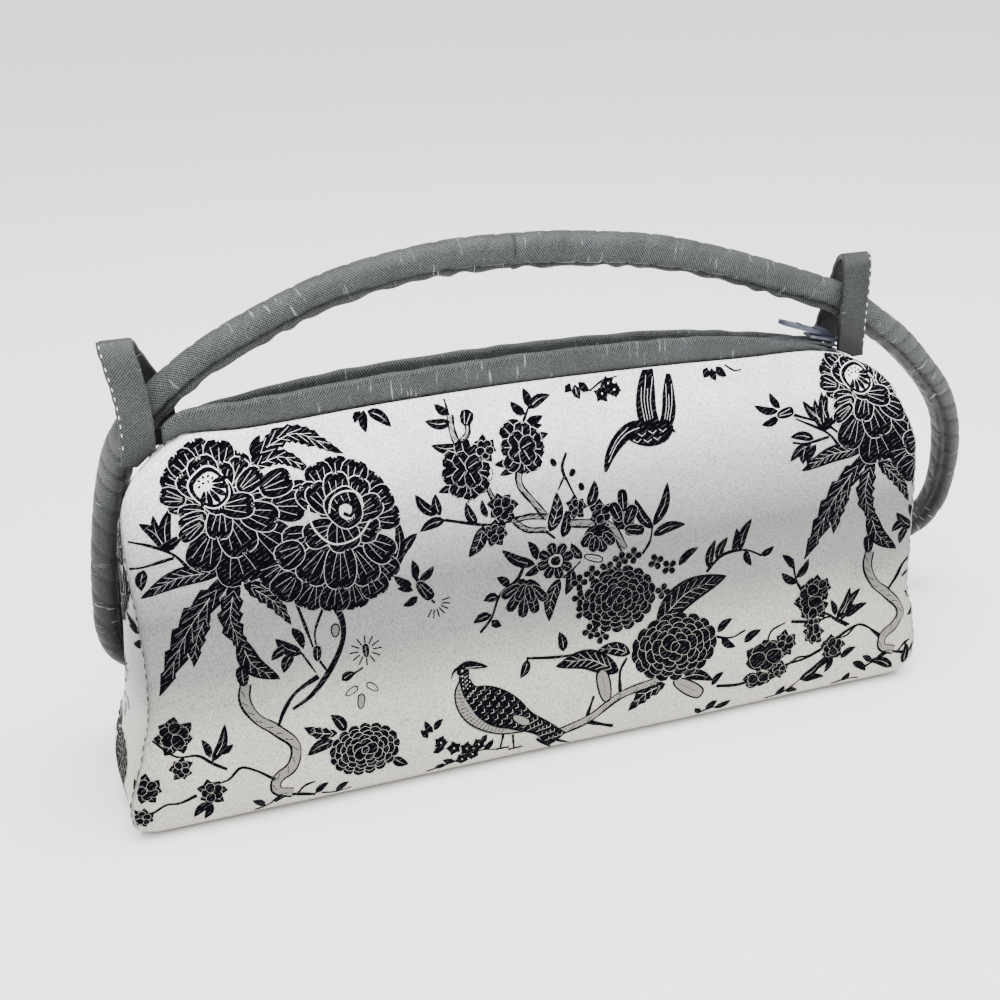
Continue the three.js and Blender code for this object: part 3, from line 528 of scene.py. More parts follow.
def bloom(heart, rows, rim=0.25, veins=3, lobes=2, full=1.3):
    """Rows of petals from the outermost in, each turned away from the heart, on a dark middle."""
    for row, petals in enumerate(rows):
        for k, (x, z, tall, wide) in enumerate(petals):
            turn = math.atan2(z - heart[1], x - heart[0])
            if row == 0:
                petal((x + heart[0]) / 2, (z + heart[1]) / 2, math.dist((x, z), heart), 1.5 * wide, turn, rim=0, veins=0)
            petal(x, z, full * tall, full * wide, turn, level=5 * row + 2.5 * (k % 2) + 1,
                  rim=0.14 if row == 0 else rim, veins=veins, lobes=lobes)


def ring(x, z, radius, count, tall, wide, level=0, start=0.0, flat=1.0, rim=0.0, veins=1, thread=BLACK):
    """Petals in a ring."""
    for k in range(count):
        turn = start + 2 * math.pi * k / count
        petal(x + radius * math.cos(turn), z + flat * radius * math.sin(turn), tall, wide, turn, thread,
              level + 1.5 * (k % 2), rim, veins)


def daisy(x, z, radius, flat=1.0):
    """A small full flower: a row of pointed petals, and a rounder row on them parted by hairs of white."""
    count = 7 if radius > 3 else 5
    for k in range(count):
        turn = x + 2 * math.pi * k / count
        reach = radius * (1.12 + 0.1 * math.sin(5 * turn))
        leaf((x, z), (x + reach * math.cos(turn), z + flat * reach * math.sin(turn)), 0.64 * radius)
    ring(x, z, 0.42 * radius, 5, 0.78 * radius, 0.74 * radius, 2, x + 0.6, flat, 0.09 if radius > 3 else 0, 0)
    if radius <= 3:
        seeds(x, z, size=0.7, thread=WHITE, level=5)


def seeds(*row, size=1.0, thread=BLACK, level=0):
    for x, z in pairs(row):
        petal(x, z, size, size * 0.8, x + z, thread, level, 0, 0)


def rays(x, z, radius, start, stop, count, thread=BLACK):
    for k in range(count):
        turn = math.radians(start + (stop - start) * k / max(count - 1, 1))
        inner, outer = 0.45 * radius, radius
        ribbon(thread, [(x + inner * math.cos(turn), z + inner * math.sin(turn)),
                        (x + outer * math.cos(turn), z + outer * math.sin(turn))], 0.45)


def chrysanthemum(x, z, half_wide, half_tall):
    """A full round flower: dark petals laid like scales, each with a hair of white round its tip."""
    flat = half_tall / half_wide
    petal(x, z, 1.6 * half_wide, 1.6 * half_tall, 0, rim=0, veins=0)
    for row, (share, count) in enumerate(((0.82, 17), (0.66, 15), (0.5, 12), (0.34, 9), (0.17, 5))):
        ring(x, z, share * half_wide, count, 0.42 * half_wide, 0.37 * half_wide, 3.6 * row + 1, 0.37 * row + x, flat,
             0.13 - 0.02 * (row % 2), 0)
    petal(x, z, 0.24 * half_wide, 0.22 * half_wide, 1.0, BLACK, 20, 0.12, 0)


def trunk(wide, *row):
    """A gnarled branch: grey between dark outlines, with short dark strokes across."""
    points = pairs(row)
    ribbon(GREY, points, lambda t: wide * (1 + 0.16 * np.sin(11 * t + wide)), 0, 3)
    line, way, length = smooth_line(points, False, max(8, int(3 * len(points))))
    across = np.stack([-way[:, 1], way[:, 0]], -1)
    for hand, heavy in ((-1, 0.8), (1, 0.55)):
        edge = line + across * hand * wide * (0.5 + 0.06 * np.sin(7.0 * np.arange(len(line)) + hand))[:, None]
        ribbon(BLACK, [tuple(p) for p in edge], lambda t: heavy * (0.85 + 0.25 * np.sin(17 * t + hand)), 1.5)
    for k in range(1, len(line) - 1, 2):
        a, b = line[k] - across[k] * 0.32 * wide, line[k] + across[k] * 0.1 * wide + way[k] * 0.8
        ribbon(BLACK, [tuple(a), tuple(b + way[k] * 1.4)], 0.24, 1.2)


# the left of the chart, which comes again at the right
for again in (0, 1):
    shift[:] = (again * REPEAT, again * CLIMB)
    bloom((-104, 110), (
        [(-116.2, 119.1, 7, 7), (-113, 123.1, 7, 7.5), (-108.4, 125.6, 7, 7.5), (-102.3, 124.9, 7, 8),
         (-98, 121.3, 7, 7.5), (-118, 114.5, 6, 5), (-115.9, 111.6, 6, 4.5), (-113, 109.4, 6, 4.5),
         (-100.9, 91.3, 10, 13), (-110.9, 97, 9, 9), (-90.9, 97.7, 11, 11), (-83.7, 106.5, 8, 8.5),
         (-81, 110.6, 6.5, 6)],
        [(-98, 119.4, 7, 6), (-94.4, 116.3, 7, 6), (-92, 113.6, 7, 6), (-86.6, 114.1, 8, 7.5),
         (-113, 107, 7, 4.5), (-113.7, 104, 7, 4.5), (-100.9, 101, 10.5, 10), (-93.2, 105.2, 9, 8)],
        [(-105.1, 105.6, 8, 7), (-99.5, 109.5, 8, 7), (-111.5, 117.5, 7, 7), (-107.5, 120.8, 7, 8),
         (-102.8, 118.6, 7, 7), (-104.6, 112.8, 8, 9)]))
    petal(-106.6, 116, 13, 12.6, 2.2, BLACK, 18, 0.45, 0)
    petal(-106.4, 115.8, 9.6, 9.4, 2.2, WHITE, 20, 0, 0)
    for k in range(6):
        lean = math.radians(-108 + 24 * k)
        foot, reach = (-107.8 + 2 * math.cos(lean), 117.4 + 2 * math.sin(lean)), 6.9
        ribbon(BLACK, [foot, (-107.6 + reach * math.cos(lean), 117.4 + reach * math.sin(lean))],
               lambda t: (1.2 + 1.2 * t) * np.sin(math.pi * np.clip(t, 0.03, 0.97)) ** 0.5, 21)
    seeds(-109.6, 118.6, -108.2, 119.6, -106.6, 119.8, -105.4, 119, -108.4, 117.8, -106.8, 118.2, -109.8, 116.8,
          size=1.0, level=21)
    leaf((-93, 122), (-63.7, 119.5), 5, (-80, 128.4), 12)
    leaf((-93.7, 119.9), (-74.8, 115.9), 4.2, (-83.7, 122), 8)
    leaf((-95, 121), (-105, 129.4), 2.6)
    leaf((-92, 123), (-88.7, 129.6), 2.4)
    bloom((-68, 98), (
        [(-91.2, 86.4, 7, 8), (-87, 81, 7, 8.5), (-80.1, 76.6, 7, 8.5), (-72.3, 74.4, 7, 8.5),
         (-65.9, 73.8, 7, 8), (-59.4, 76.6, 7, 8), (-55.4, 81.2, 7, 8), (-72.3, 113.2, 7, 7.5),
         (-67, 114.3, 7, 7.5), (-61.6, 112.2, 7, 7.5), (-57.4, 108, 7, 7.5), (-54.6, 103.2, 7, 7.5),
         (-53.2, 97.6, 7, 7)],
        [(-81.6, 95.6, 7, 8), (-84.6, 91.2, 7, 8), (-76.6, 86.6, 10, 10), (-69.4, 84.6, 11, 9),
         (-62.6, 83.6, 10, 8.5), (-56.4, 88.2, 8, 8), (-75.4, 107.2, 8, 7)],
        [(-72.6, 106.6, 8, 7), (-67.6, 108.6, 8, 7), (-62.2, 106.4, 8, 7), (-59.2, 101.2, 8, 7),
         (-74.2, 96.4, 8, 8), (-67.4, 94.6, 8, 9), (-61.2, 95.6, 8, 8)]))
    bowl = pairs((-77.3, 105.6, -76.6, 98.4, -70.9, 92, -63, 92.7, -58, 97.7))
    ribbon(WHITE, bowl, 0.6, 19)
    petal(-65.9, 102.6, 13.5, 12.5, 2.0, BLACK, 17, 0.3, 4)
    petal(-65.4, 101.8, 6, 5.4, 2.0, WHITE, 20, 0, 0)
    ribbon(BLACK, pairs((-68.4, 100.4, -67.9, 103.8, -65, 104.6, -62.9, 102.6, -64.2, 100, -66.4, 101.2)), 1.2, 21)
    ribbon(WHITE, pairs((-71, 102, -69.4, 106.4, -65, 108, -60.8, 106.4, -59.8, 102)), 0.5, 20)
    for root, tip, wide, via, teeth in (
            ((-107, 89.5), (-132.3, 85.2), 4.8, (-119, 89.6), 0), ((-105.1, 87.7), (-131.2, 51.3), 7.4, (-117.3, 74.9), 6),
            ((-112.5, 77), (-119.4, 59.1), 4.4, (-117.4, 68), 4), ((-103, 85.6), (-102.3, 60.6), 6.4, (-106.1, 72.3), 5),
            ((-104, 66), (-93, 49.5), 5.2, (-101.4, 56.6), 0), ((-100.5, 84.1), (-87.3, 67.7), 4.6, None, 6),
            ((-100, 84), (-92.3, 79.1), 2.6, None, 0), ((-130, 94), (-131.6, 87.6), 3, None, 0),
            ((-122.3, 98.8), (-119.4, 111.6), 3, None, 0), ((-122.3, 98.8), (-129.4, 108.4), 3, None, 0),
            ((-122.3, 98.8), (-124.9, 110.1), 2.6, None, 0), ((-122, 98.4), (-116.9, 102.6), 2.2, None, 0),
            ((-85.1, 57), (-93, 63.8), 3.2, None, 0), ((-89.4, 59.9), (-95.1, 56.6), 2.6, None, 0),
            ((-88, 57.7), (-91.6, 51.3), 2.8, None, 0), ((-87.3, 66.3), (-84.4, 58.4), 2.4, None, 0),
            ((-118, 25.6), (-112.3, 37), 2.6, None, 0), ((-118.6, 27), (-120.4, 33.4), 2, None, 0),
            ((-115.6, 28), (-110.6, 30), 2, None, 0), ((-120.5, 11.3), (-126.2, 6.6), 2.4, None, 0),
            ((-120.5, 11.3), (-123, 4.6), 2.2, None, 0), ((-76.6, 26.3), (-87.3, 30.6), 3.6, None, 4),
            ((-73.7, 26.3), (-78, 33), 3, None, 0), ((-78, 23.8), (-87.3, 20.9), 3.2, None, 0)):
        leaf(root, tip, wide, via, teeth)
    for row in ((1.1, -116.9, 92.4, -120.5, 97, -133.4, 104.1), (1, -120.5, 96, -129.8, 94.9, -135.4, 95.8),
                (1.2, -85.1, 75.6, -81.2, 58.4), (0.9, -76.6, 71.3, -80.1, 63.4, -80.1, 57.7), (1, -80, 54, -77.6, 49.1),
                (2.2, -73.4, 72.7, -70.9, 66.3, -71.2, 59.1, -75.9, 49.9, -83.7, 41.3, -90.1, 37.7),
                (1.6, -80.5, 47.7, -88.7, 43.4, -92.6, 38.4, -95.5, 32.7), (0.8, -85.1, 57, -81.2, 49.1),
                (1, -98.7, 14.9, -105.1, 19.9, -109.4, 21.6, -113.7, 18.4, -117.3, 17.7),
                (1, -124.4, 14.9, -130.1, 13.1, -134.4, 13.4, -139.4, 11.3, -145.1, 13.1),
                (1, -113.7, 22, -118, 24.9, -122.3, 28.4, -128.7, 29.1, -135.5, 34.9)):
        stem(*row)
    trunk(3.3, -104.4, 49.9, -105.1, 44.9, -101.6, 36.3, -96.6, 32, -90.9, 25.6, -93, 18.4, -98, 14.9, -98.7, 10.6,
          -93.7, 8.4)
    petal(-104.8, 53, 7, 4.5, 1.6, BLACK, 2, 0, 1)
    petal(-80.1, 55.9, 6, 3.6, 1.5, BLACK, 1, 0.22, 1)
    petal(-73.4, 62.7, 5, 3.4, 1.5, GREY, 1, 0.5, 0)
    ring(-109.8, 44.1, 1.6, 5, 2.6, 1.3, thread=WHITE, veins=0)
    ring(-99.4, 43.1, 1.6, 5, 2.6, 1.3, thread=WHITE, veins=0)
    for place in ((-128.7, 36.3, 6), (-128, 24.9, 3.5), (-139.4, 19.9, 4.5), (-119.4, 14.9, 4.5), (-142.3, 9.9, 3.5)):
        daisy(*place)
    for row in ((1.6, -100, 6.4, -96.4, 8, -90.6, 7, -86, 5.4), (0.9, -92.6, 7, -89.4, 10.2, -85.8, 11),
                (0.8, -84, 5.6, -79, 4.2, -73.6, 5.2), (0.9, -106.4, 3.4, -102, 5.2, -98.6, 8)):
        stem(*row)
    for root, tip, wide in (((-86, 6), (-81.4, 9.4), 2), ((-79, 4.6), (-74.6, 8), 2), ((-103, 5), (-107, 8.4), 2)):
        leaf(root, tip, wide)

shift[:] = 0
# small growth low on the left, and what stands cut off at the mouth
petal(-64, 53.4, 5.5, 3, 1.6, BLACK, 1, 0.22, 1)
rays(-64, 53.4, 5.4, 0, 330, 12)
leaf((-73, 44.4), (-68.2, 46.2), 2.6)
stem(0.8, -70, 45.4, -65.5, 47.4)
petal(-70.1, 39.9, 5, 2.6, 0.5, WHITE, 0, 0.45, 1)
petal(-63, 39.9, 5, 2.6, 2.4, WHITE, 0, 0.45, 1)
petal(-67.3, 35.6, 5.6, 3, 1.4, GREY, 0, 0.45, 0)
chrysanthemum(-68, 18.6, 12, 8.4)
leaf((-58.7, 13.4), (-53.6, 9.6), 2.8)
for root, tip, wide in (((-56.2, 131), (-58.6, 127.8), 2), ((-55, 131), (-55.4, 124.4), 2.4),
                        ((-53.8, 130.6), (-47, 124.9), 2.8), ((-52.6, 131.2), (-50.8, 129.2), 2)):
    leaf(root, tip, wide)
daisy(26.6, 125.6, 2.6)
daisy(31.2, 126.4, 2.6)
daisy(29.4, 128.6, 2.2)
for root, tip, wide in (((16, 130), (13.6, 127.4), 2.2), ((17.6, 129.4), (18.4, 124.8), 2.6), ((19, 130), (22.4, 127), 2.4),
                        ((66.6, 130), (64.6, 126.8), 2.4), ((68.2, 129.6), (69, 125.4), 2.4), ((70, 130), (73.4, 126.6), 2.4)):
    leaf(root, tip, wide)
stem(0.7, 22.4, 127, 27.6, 129.6, 33, 130.4)
stem(0.7, 73.4, 130.4, 77, 128, 79.4, 128.4)

# the middle: sprigs, blossom on a branch, lotus and the upper chrysanthemum
for root, tip, wide in (
        ((-52.5, 79.5), (-49.4, 97), 2.8), ((-51, 84), (-53.4, 90.6), 2.2), ((-48.6, 85), (-43.2, 90.6), 2.6),
        ((-44, 74.4), (-38.6, 78.6), 2.2), ((-45.4, 75), (-45.8, 82), 2.2), ((-46.6, 73.4), (-52.4, 77.6), 2.2),
        ((-46.4, 71.4), (-51.6, 72.9), 2), ((-45, 69), (-50.2, 66.6), 2.2), ((-36.4, 95.6), (-42.5, 103.1), 2.8),
        ((-35, 95.2), (-35.8, 102.3), 2.6), ((-33.6, 93.4), (-42.2, 91), 2.8), ((-22.9, 90.2), (-25.9, 98), 2.6),
        ((-20.7, 89.1), (-26.4, 79.4), 3.8), ((-19, 92), (-20.4, 98), 1.8), ((-24.5, 107), (-34.8, 102.6), 3),
        ((-27.4, 123.4), (-35.8, 124.9), 2.6), ((-27.4, 126), (-31.8, 129.6), 2.2), ((-25.6, 115.6), (-35, 117.4), 2.6),
        ((-22.1, 103.1), (-25.2, 97.6), 2), ((-6.4, 110), (-14.8, 108.4), 2.4), ((-6.6, 108.4), (-13.4, 104.8), 2.2),
        ((-2.4, 112.6), (5.4, 115.6), 2.6), ((0, 124.5), (-0.9, 130.4), 2.4), ((0, 124), (8.2, 127.4), 2.6),
        ((-1.6, 122.6), (-6, 127), 2.4), ((-1.6, 120.4), (4.4, 121.4), 2.2), ((-2.6, 119), (3.8, 118.6), 1.8),
        ((-2.9, 118.6), (-9.4, 120.8), 2.2), ((2.5, 83.4), (5.8, 96.4), 3.8), ((7, 80.6), (8.8, 89.8), 3),
        ((16.8, 89.9), (19.7, 98.4), 3), ((-3.4, 72.6), (-14.8, 79.7), 3), ((-2.6, 74.2), (-5.4, 81.2), 2.4),
        ((-1.6, 72), (-7.4, 69.3), 2.2), ((-13, 66.4), (-17.2, 70.4), 2.4), ((-17, 63.4), (-22.4, 63), 2.6),
        ((-20, 57.4), (-26.4, 55.6), 2.6), ((-20, 55.4), (-16.6, 52.6), 2.4), ((5, 66), (0.5, 51.2), 3.8),
        ((9.4, 69), (6.9, 59.8), 3), ((13.6, 72), (10, 78), 2.6), ((-8.2, 38.6), (-11.4, 32.4), 2.6),
        ((5, 39), (3.9, 46.4), 2.8), ((30, 33.4), (17.9, 37), 4), ((61, 15), (66, 19.4), 2), ((50, 21.2), (61.6, 17), 3.2),
        ((64.6, 34.6), (70.6, 38.8), 2.4), ((66, 32), (71.4, 27.8), 2.4), ((75, 28.7), (82, 32.4), 2.4),
        ((40, 78.6), (34, 89.9), 3), ((40.4, 79.6), (46.4, 94), 3), ((40.2, 76), (52.4, 78.2), 3),
        ((49.6, 63.3), (57.2, 68.8), 2.4), ((61.4, 60), (64, 70.4), 2.6), ((64.6, 62.6), (68.8, 70.6), 2.6),
        ((73.6, 64.8), (78.4, 76), 2.8), ((71, 64.6), (72.4, 73.4), 2.4), ((76, 64.4), (78.4, 58), 2.2),
        ((82, 61.4), (87.4, 64), 2)):
    leaf(root, tip, wide)
for row in ((0.9, -52.5, 78.5, -50.6, 86, -49.2, 92), (1, -51.4, 80, -46.6, 86.4), (1.1, -45, 76.4, -43.6, 71, -39.3, 65.6),
            (1.1, -33.6, 93.4, -24.3, 90.6, -20, 89.5, -10, 89.1), 
            (0.9, -27.6, 125.6, -28.1, 130.6), (1.1, 0.7, 84.1, 4.3, 80.6),
            (1.1, -4.6, 115.9, -2.9, 119.9, 0, 124.5), 
            (1.1, 10.7, 108.8, 8.6, 104.1, 10.4, 98.4, 12.9, 92.7), (0.8, 9.2, 101.6, 6.4, 97),
            (1.2, -7.1, 73.4, -10, 68.4, -16.4, 64.1, -20, 56.3, -24.3, 51.6), (1, 4, 69, 6.4, 66.4, 13, 71),
            (1.1, -8.6, 39.1, 3, 37.4, 14.3, 37), (1, 35.8, 69.9, 38.8, 74, 40, 79.5),
            (1.2, 60.4, 58.7, 66.7, 64.1, 75.8, 64.5, 82.5, 61.2), (1.1, 62.9, 14.3, 73, 13, 91.7, 17, 99.2, 17.8, 105, 19.5),
            (1.1, 105, 19.5, 113, 23.6, 123.3, 27, 131.3, 20), (1.1, 94.2, 33.3, 105, 31.6, 110, 32.4, 118.3, 27.8),
            (1.1, 100.4, 42, 96.7, 48.7, 95, 57.8), (0.9, 62, 33.6, 70, 31.6, 75.6, 33.4),
            (1.1, 96.7, 111.2, 110.8, 105.3, 117.1, 99.5), (0.9, 84, 26, 86, 31, 92, 33.4)):
    stem(*row)
petal(-42.4, 70.6, 8.6, 5, -0.98, BLACK, 1, 0.22, 2)
rays(-39.3, 65.6, 5.4, -120, 10, 7)
daisy(-16.4, 85.9, 4.1)
daisy(-13.4, 94.1, 4.9)
for heart, outer, inner in (
        ((-24.2, 108.6), (-24.6, 114.8, -29, 111.6, -20.6, 112.4, -29.8, 107.4, -19.4, 107.4, -27.8, 103, -24, 101.6,
                          -20.4, 103.2), (-25.6, 111, -22, 109.6, -26.4, 106.4, -22.8, 105.4)),
        ((-4.4, 112.4), (-8.4, 117.6, -3.6, 117.2, -0.6, 115, -8.8, 113, 0.2, 111.4, -8.4, 108.4, -4.6, 107,
                         -1.4, 107.6), (-5.8, 114.6, -2.8, 113, -6.2, 111, -3.2, 109.8))):
    bloom(heart, ([(x, z, 4.6, 5) for x, z in pairs(outer)], [(x, z, 4.4, 4.8) for x, z in pairs(inner)]), 0.1, 1, 2)
daisy(-17.3, 113.7, 3.9)
petal(-21.8, 124, 5.6, 5.6, 1.2, BLACK, 1, 0.22, 2)
petal(-16.8, 105.9, 4.6, 2.5, 1.5, WHITE, 0, 0.4, 1)
seeds(5.7, 106.3, 12, 102, 14.8, 97, size=2.9)
daisy(12.5, 90.2, 3.7)
for row in ((2.4, 10, 84.9, 18, 83.8, 24.3, 82, 29.3, 72.7), (1.9, -24.6, 113.6, -27.2, 119.4, -27.1, 125.6),
            (1.5, -24.8, 117, -22.2, 119.6, -21.9, 122.4), (1.9, -6.1, 107.4, -6.9, 101.3, -3.4, 95.4, 1.6, 88.6),
            (1.6, 1.6, 88.8, -4, 89.6, -10.6, 89.4), (1.6, -10, 89.1, -5.7, 85.6, 1.2, 84.1),
            (1.3, -19.4, 104.6, -17.6, 100.4, -16.6, 97.6)):
    trunk(*row)
daisy(21.4, 86.6, 4.5)
bloom((19.6, 82.6), ([(15.8, 78.2, 4.6, 3.4), (18.2, 76.4, 4.6, 3.4), (21, 75.8, 4.6, 3.4), (23.6, 77.6, 4.6, 3.4)],),
      0.12, 1, 0)
bloom((29.6, 80), ([(29.4, 90, 6.4, 3.4), (26.8, 86.4, 6, 3.6), (31.8, 84.6, 6, 3.8), (33.2, 79.2, 6, 3.4)],), 0.14, 1, 0)
ring(3.9, 72.7, 4.5, 8, 4.6, 4, 2, 0.2, rim=0.12)
petal(3.9, 72.7, 6.4, 6.4, 0, BLACK, 5, 0, 0)
petal(3.9, 72.7, 5.2, 5.2, 0, WHITE, 7, 0, 0)
petal(3.9, 72.7, 3.6, 3.6, 0, BLACK, 9, 0, 0)
bloom((-6.8, 67.4), ([(-12.6, 64.6, 6, 3.2), (-11.6, 60.8, 6.4, 3.4), (-8.4, 58.4, 6.4, 3.4), (-5, 59.2, 6.4, 3.4),
                      (-2.6, 62.2, 6, 3.2)], [(-9, 63.6, 5, 3), (-6, 62.6, 5, 3)]), 0.12, 1, 0)
petal(17.7, 71.4, 7.4, 3, -0.36, WHITE, 0, 0.5, 1)
leaf((25, 27.7), (1.8, 34.1), 6, (13.6, 34.4))
petal(19.2, 23.4, 12.6, 6, 1.68, GREY, 0, 0.7, 1)
leaf((42.5, 19.5), (27.9, 12), 5, (35, 17.6), 5)
leaf((41.3, 42), (68.3, 55.8), 8.2, (52, 51.6), level=1)
petal(51.6, 16.2, 14, 6.4, -0.62, GREY, 0, 0.7, 1)
trunk(2.6, 2.1, 9.1, 12.1, 12, 24.3, 18.4, 40, 21.3)
for row in ((1.3, 12.1, 13.4, 15, 20.6), (1.3, 25, 19.1, 25.7, 27.7, 28.6, 32), (1.6, 12.1, 11, 22.1, 7)):
    stem(*row)
ring(7.1, 19.1, 1.8, 6, 3, 1.4, thread=WHITE, veins=0)
chrysanthemum(26.8, 54.6, 13.6, 12)
for place in ((16.8, 65.9), (22.5, 66.6), (12.1, 63.4), (12.1, 57.7), (12.9, 52.4), (15.4, 44.5), (19.6, 42),
              (27.5, 69.1), (32.5, 69.9), (40.8, 66.2), (45.8, 63.3), (43.3, 54.5)):
    petal(*place, 2.8, 2.8, 0, BLACK, 0, 0, 0)
    ring(*place, 1.7, 4, 2.9, 2.7, 1, 0.4 + place[0], rim=0.1, veins=0)
chrysanthemum(47.2, 32.6, 16.6, 11.2)

# the standing bird: crested head, pale barred breast, scaled dark wing and back, long tail
ribbon(GREY, pairs((-31.6, 35.6, -33.2, 32, -33, 27, -30.6, 22, -26.4, 18, -20, 15.2, -12, 14)),
       lambda t: 4.6 * np.sin(math.pi * (0.14 + 0.8 * t)) ** 0.7, 2, 4)
ribbon(BLACK, pairs((-32.6, 36.2, -34.8, 32.4, -35, 27.6, -32.8, 22, -28.4, 17.6, -20.6, 13.6, -12, 12.4)), 0.6, 3)
barred, bar_way, _ = smooth_line(pairs((-33, 34, -33.4, 28, -30.8, 22.4, -26, 17.8, -18, 14.8)), False, 20)
for k in range(1, 20):
    cross = np.array([-bar_way[k][1], bar_way[k][0]])
    ribbon(BLACK, [tuple(barred[k] - cross * 1.4), tuple(barred[k] + cross * 1.3 + bar_way[k] * 0.7)], 0.24, 4)
back_line = smooth_line(pairs((-29.6, 34.6, -27.6, 32.8, -21.2, 31.4, -12.8, 25.6, -6.8, 17.6, -0.6, 12, 5, 6.6)), False, 30)[0]
belly_line = smooth_line(pairs((-32.2, 31.6, -31.2, 27, -28.7, 22.2, -24.2, 18.3, -17.2, 15.6, -8.4, 12, -3.4, 5)), False, 30)[0]
bird_middle = (back_line + belly_line) / 2
ribbon(BLACK, [tuple(p) for p in bird_middle],
       lambda t: np.interp(t, np.linspace(0, 1, 31), np.linalg.norm(back_line - belly_line, axis=1)), 5, 7)
for k in range(2, 29, 2):
    for row in range(4):
        share = (row + 0.5 + 0.5 * ((k // 2) % 2)) / 4.6
        at = back_line[k] * (1 - share) + belly_line[k] * share
        lean = bird_middle[k + 1] - bird_middle[k - 1]
        lean /= np.linalg.norm(lean)
        side = np.array([-lean[1], lean[0]])
        ribbon(WHITE, [tuple(at - side * 0.9), tuple(at + lean * 0.8), tuple(at + side * 0.9)], 0.15, 6)
ribbon(BLACK, pairs((-31.4, 39.4, -31.2, 36, -30.2, 32.4, -28, 29)), lambda t: 3.6 + 3.2 * t * t, 5, 4)
petal(-31.4, 38.8, 5, 4.2, 2.6, BLACK, 6, 0.12, 0)
seeds(-31.8, 39.2, size=0.9, thread=WHITE, level=9)
for k in range(7):
    seeds(-31.9 + 0.9 * (k % 2), 37.4 - 0.75 * k, -30.4 + 0.9 * (k % 2), 37 - 0.75 * k, size=0.5, thread=WHITE, level=9)
ribbon(BLACK, pairs((-31.6, 40.4, -34.4, 39.8, -36, 36.6)), lambda t: 1.5 * (1.06 - t), 6)
ribbon(BLACK, pairs((-33, 40, -30, 41, -26.8, 40.2, -22.6, 38.9)),
       lambda t: 2.8 * np.sin(math.pi * (0.2 + 0.78 * t)) ** 0.8, 6, 2)
ribbon(WHITE, pairs((-30.6, 40, -27.4, 39.8, -24.8, 39.4)), 0.14, 8)
petal(-12.4, 17.2, 7, 3.4, -0.6, GREY, 8, 0.25, 0)
for row in ((0.9, -19, 13.4, -20.4, 8), (0.9, -15.7, 12, -15.4, 6.6), (0.8, -22, 7.6, -17, 7.4), (0.8, -17.4, 6.2, -12, 6.4),
            (1.3, -4, 9, 6, 2.4), (1, -7, 8.4, -1, 2)):
    stem(*row, level=2)
for place in ((-41.6, 15), (-37.2, 11.8), (-32.6, 10.6), (-34.4, 6.6), (-28.2, 11.2), (-30.6, 7.8)):
    daisy(*place, 2.5)
for root, tip in (((-44.6, 11.6), (-40.4, 12.6)), ((-46, 17.6), (-48.4, 21)), ((-44, 19.4), (-46.4, 24)),
                  ((-43.4, 20), (-40, 23.4)), ((-26.4, 8.6), (-22.8, 12)), ((-26.8, 11), (-25, 14.4)),
                  ((-40, 5.4), (-44.6, 4.6)), ((-37, 6.4), (-41.4, 8))):
    leaf(root, tip, 1.9)
stem(0.8, -47, 4, -38, 6, -28, 8.6, -22, 7.6)

# the flying bird: two raised wings in long feathers, a deep breast, a small beak and a sickle tail
for wide, feathers, spine in ((7.4, 5, (43.6, 109.6, 41.6, 118, 42.6, 125, 45.4, 133.4)),
                              (5.2, 4, (46, 110.4, 49.4, 116.4, 50.6, 123, 51.8, 129.4))):
    ribbon(BLACK, pairs(spine), lambda t: wide * np.sin(math.pi * (0.22 + 0.74 * t)) ** 0.6, 3, 4)
    line, way, _ = smooth_line(pairs(spine), False, 12)
    out = np.stack([-way[:, 1], way[:, 0]], -1) * wide
    for k in range(1, feathers):
        share = (k / feathers - 0.5) * 0.86
        ribbon(WHITE, [tuple(line[j] + out[j] * share * (0.75 + 0.02 * j)) for j in (3, 6, 8 + k % 2 * 2)], 0.12, 5)
ribbon(BLACK, pairs((49.6, 113.4, 46.6, 110.6, 41, 110, 34.4, 111.4)),
       lambda t: 6.4 * np.sin(math.pi * (0.12 + 0.72 * t)) ** 0.7, 5, 4)
ribbon(BLACK, pairs((41, 113.4, 35, 113.2, 29.6, 109.8, 26, 105.4, 23.9, 100.6)),
       lambda t: 5 * np.sin(math.pi * (0.3 + 0.68 * t)) ** 0.6, 4, 4)
ribbon(WHITE, pairs((38, 113.4, 33, 112, 28.8, 108.6, 25.4, 103.6)), 0.16, 7)
ribbon(WHITE, pairs((34, 114, 29.4, 110.6, 26, 106)), 0.12, 7)
for x, z in pairs((46.4, 111.6, 44, 109.2, 42.6, 111.4, 40.4, 108.8, 38.6, 111, 36.6, 109.2)):
    ribbon(WHITE, [(x - 1.3, z + 0.5), (x, z - 0.5), (x + 1.5, z + 0.4)], 0.16, 7)
leaf((48.8, 113), (51.4, 110.2), 1, level=6)

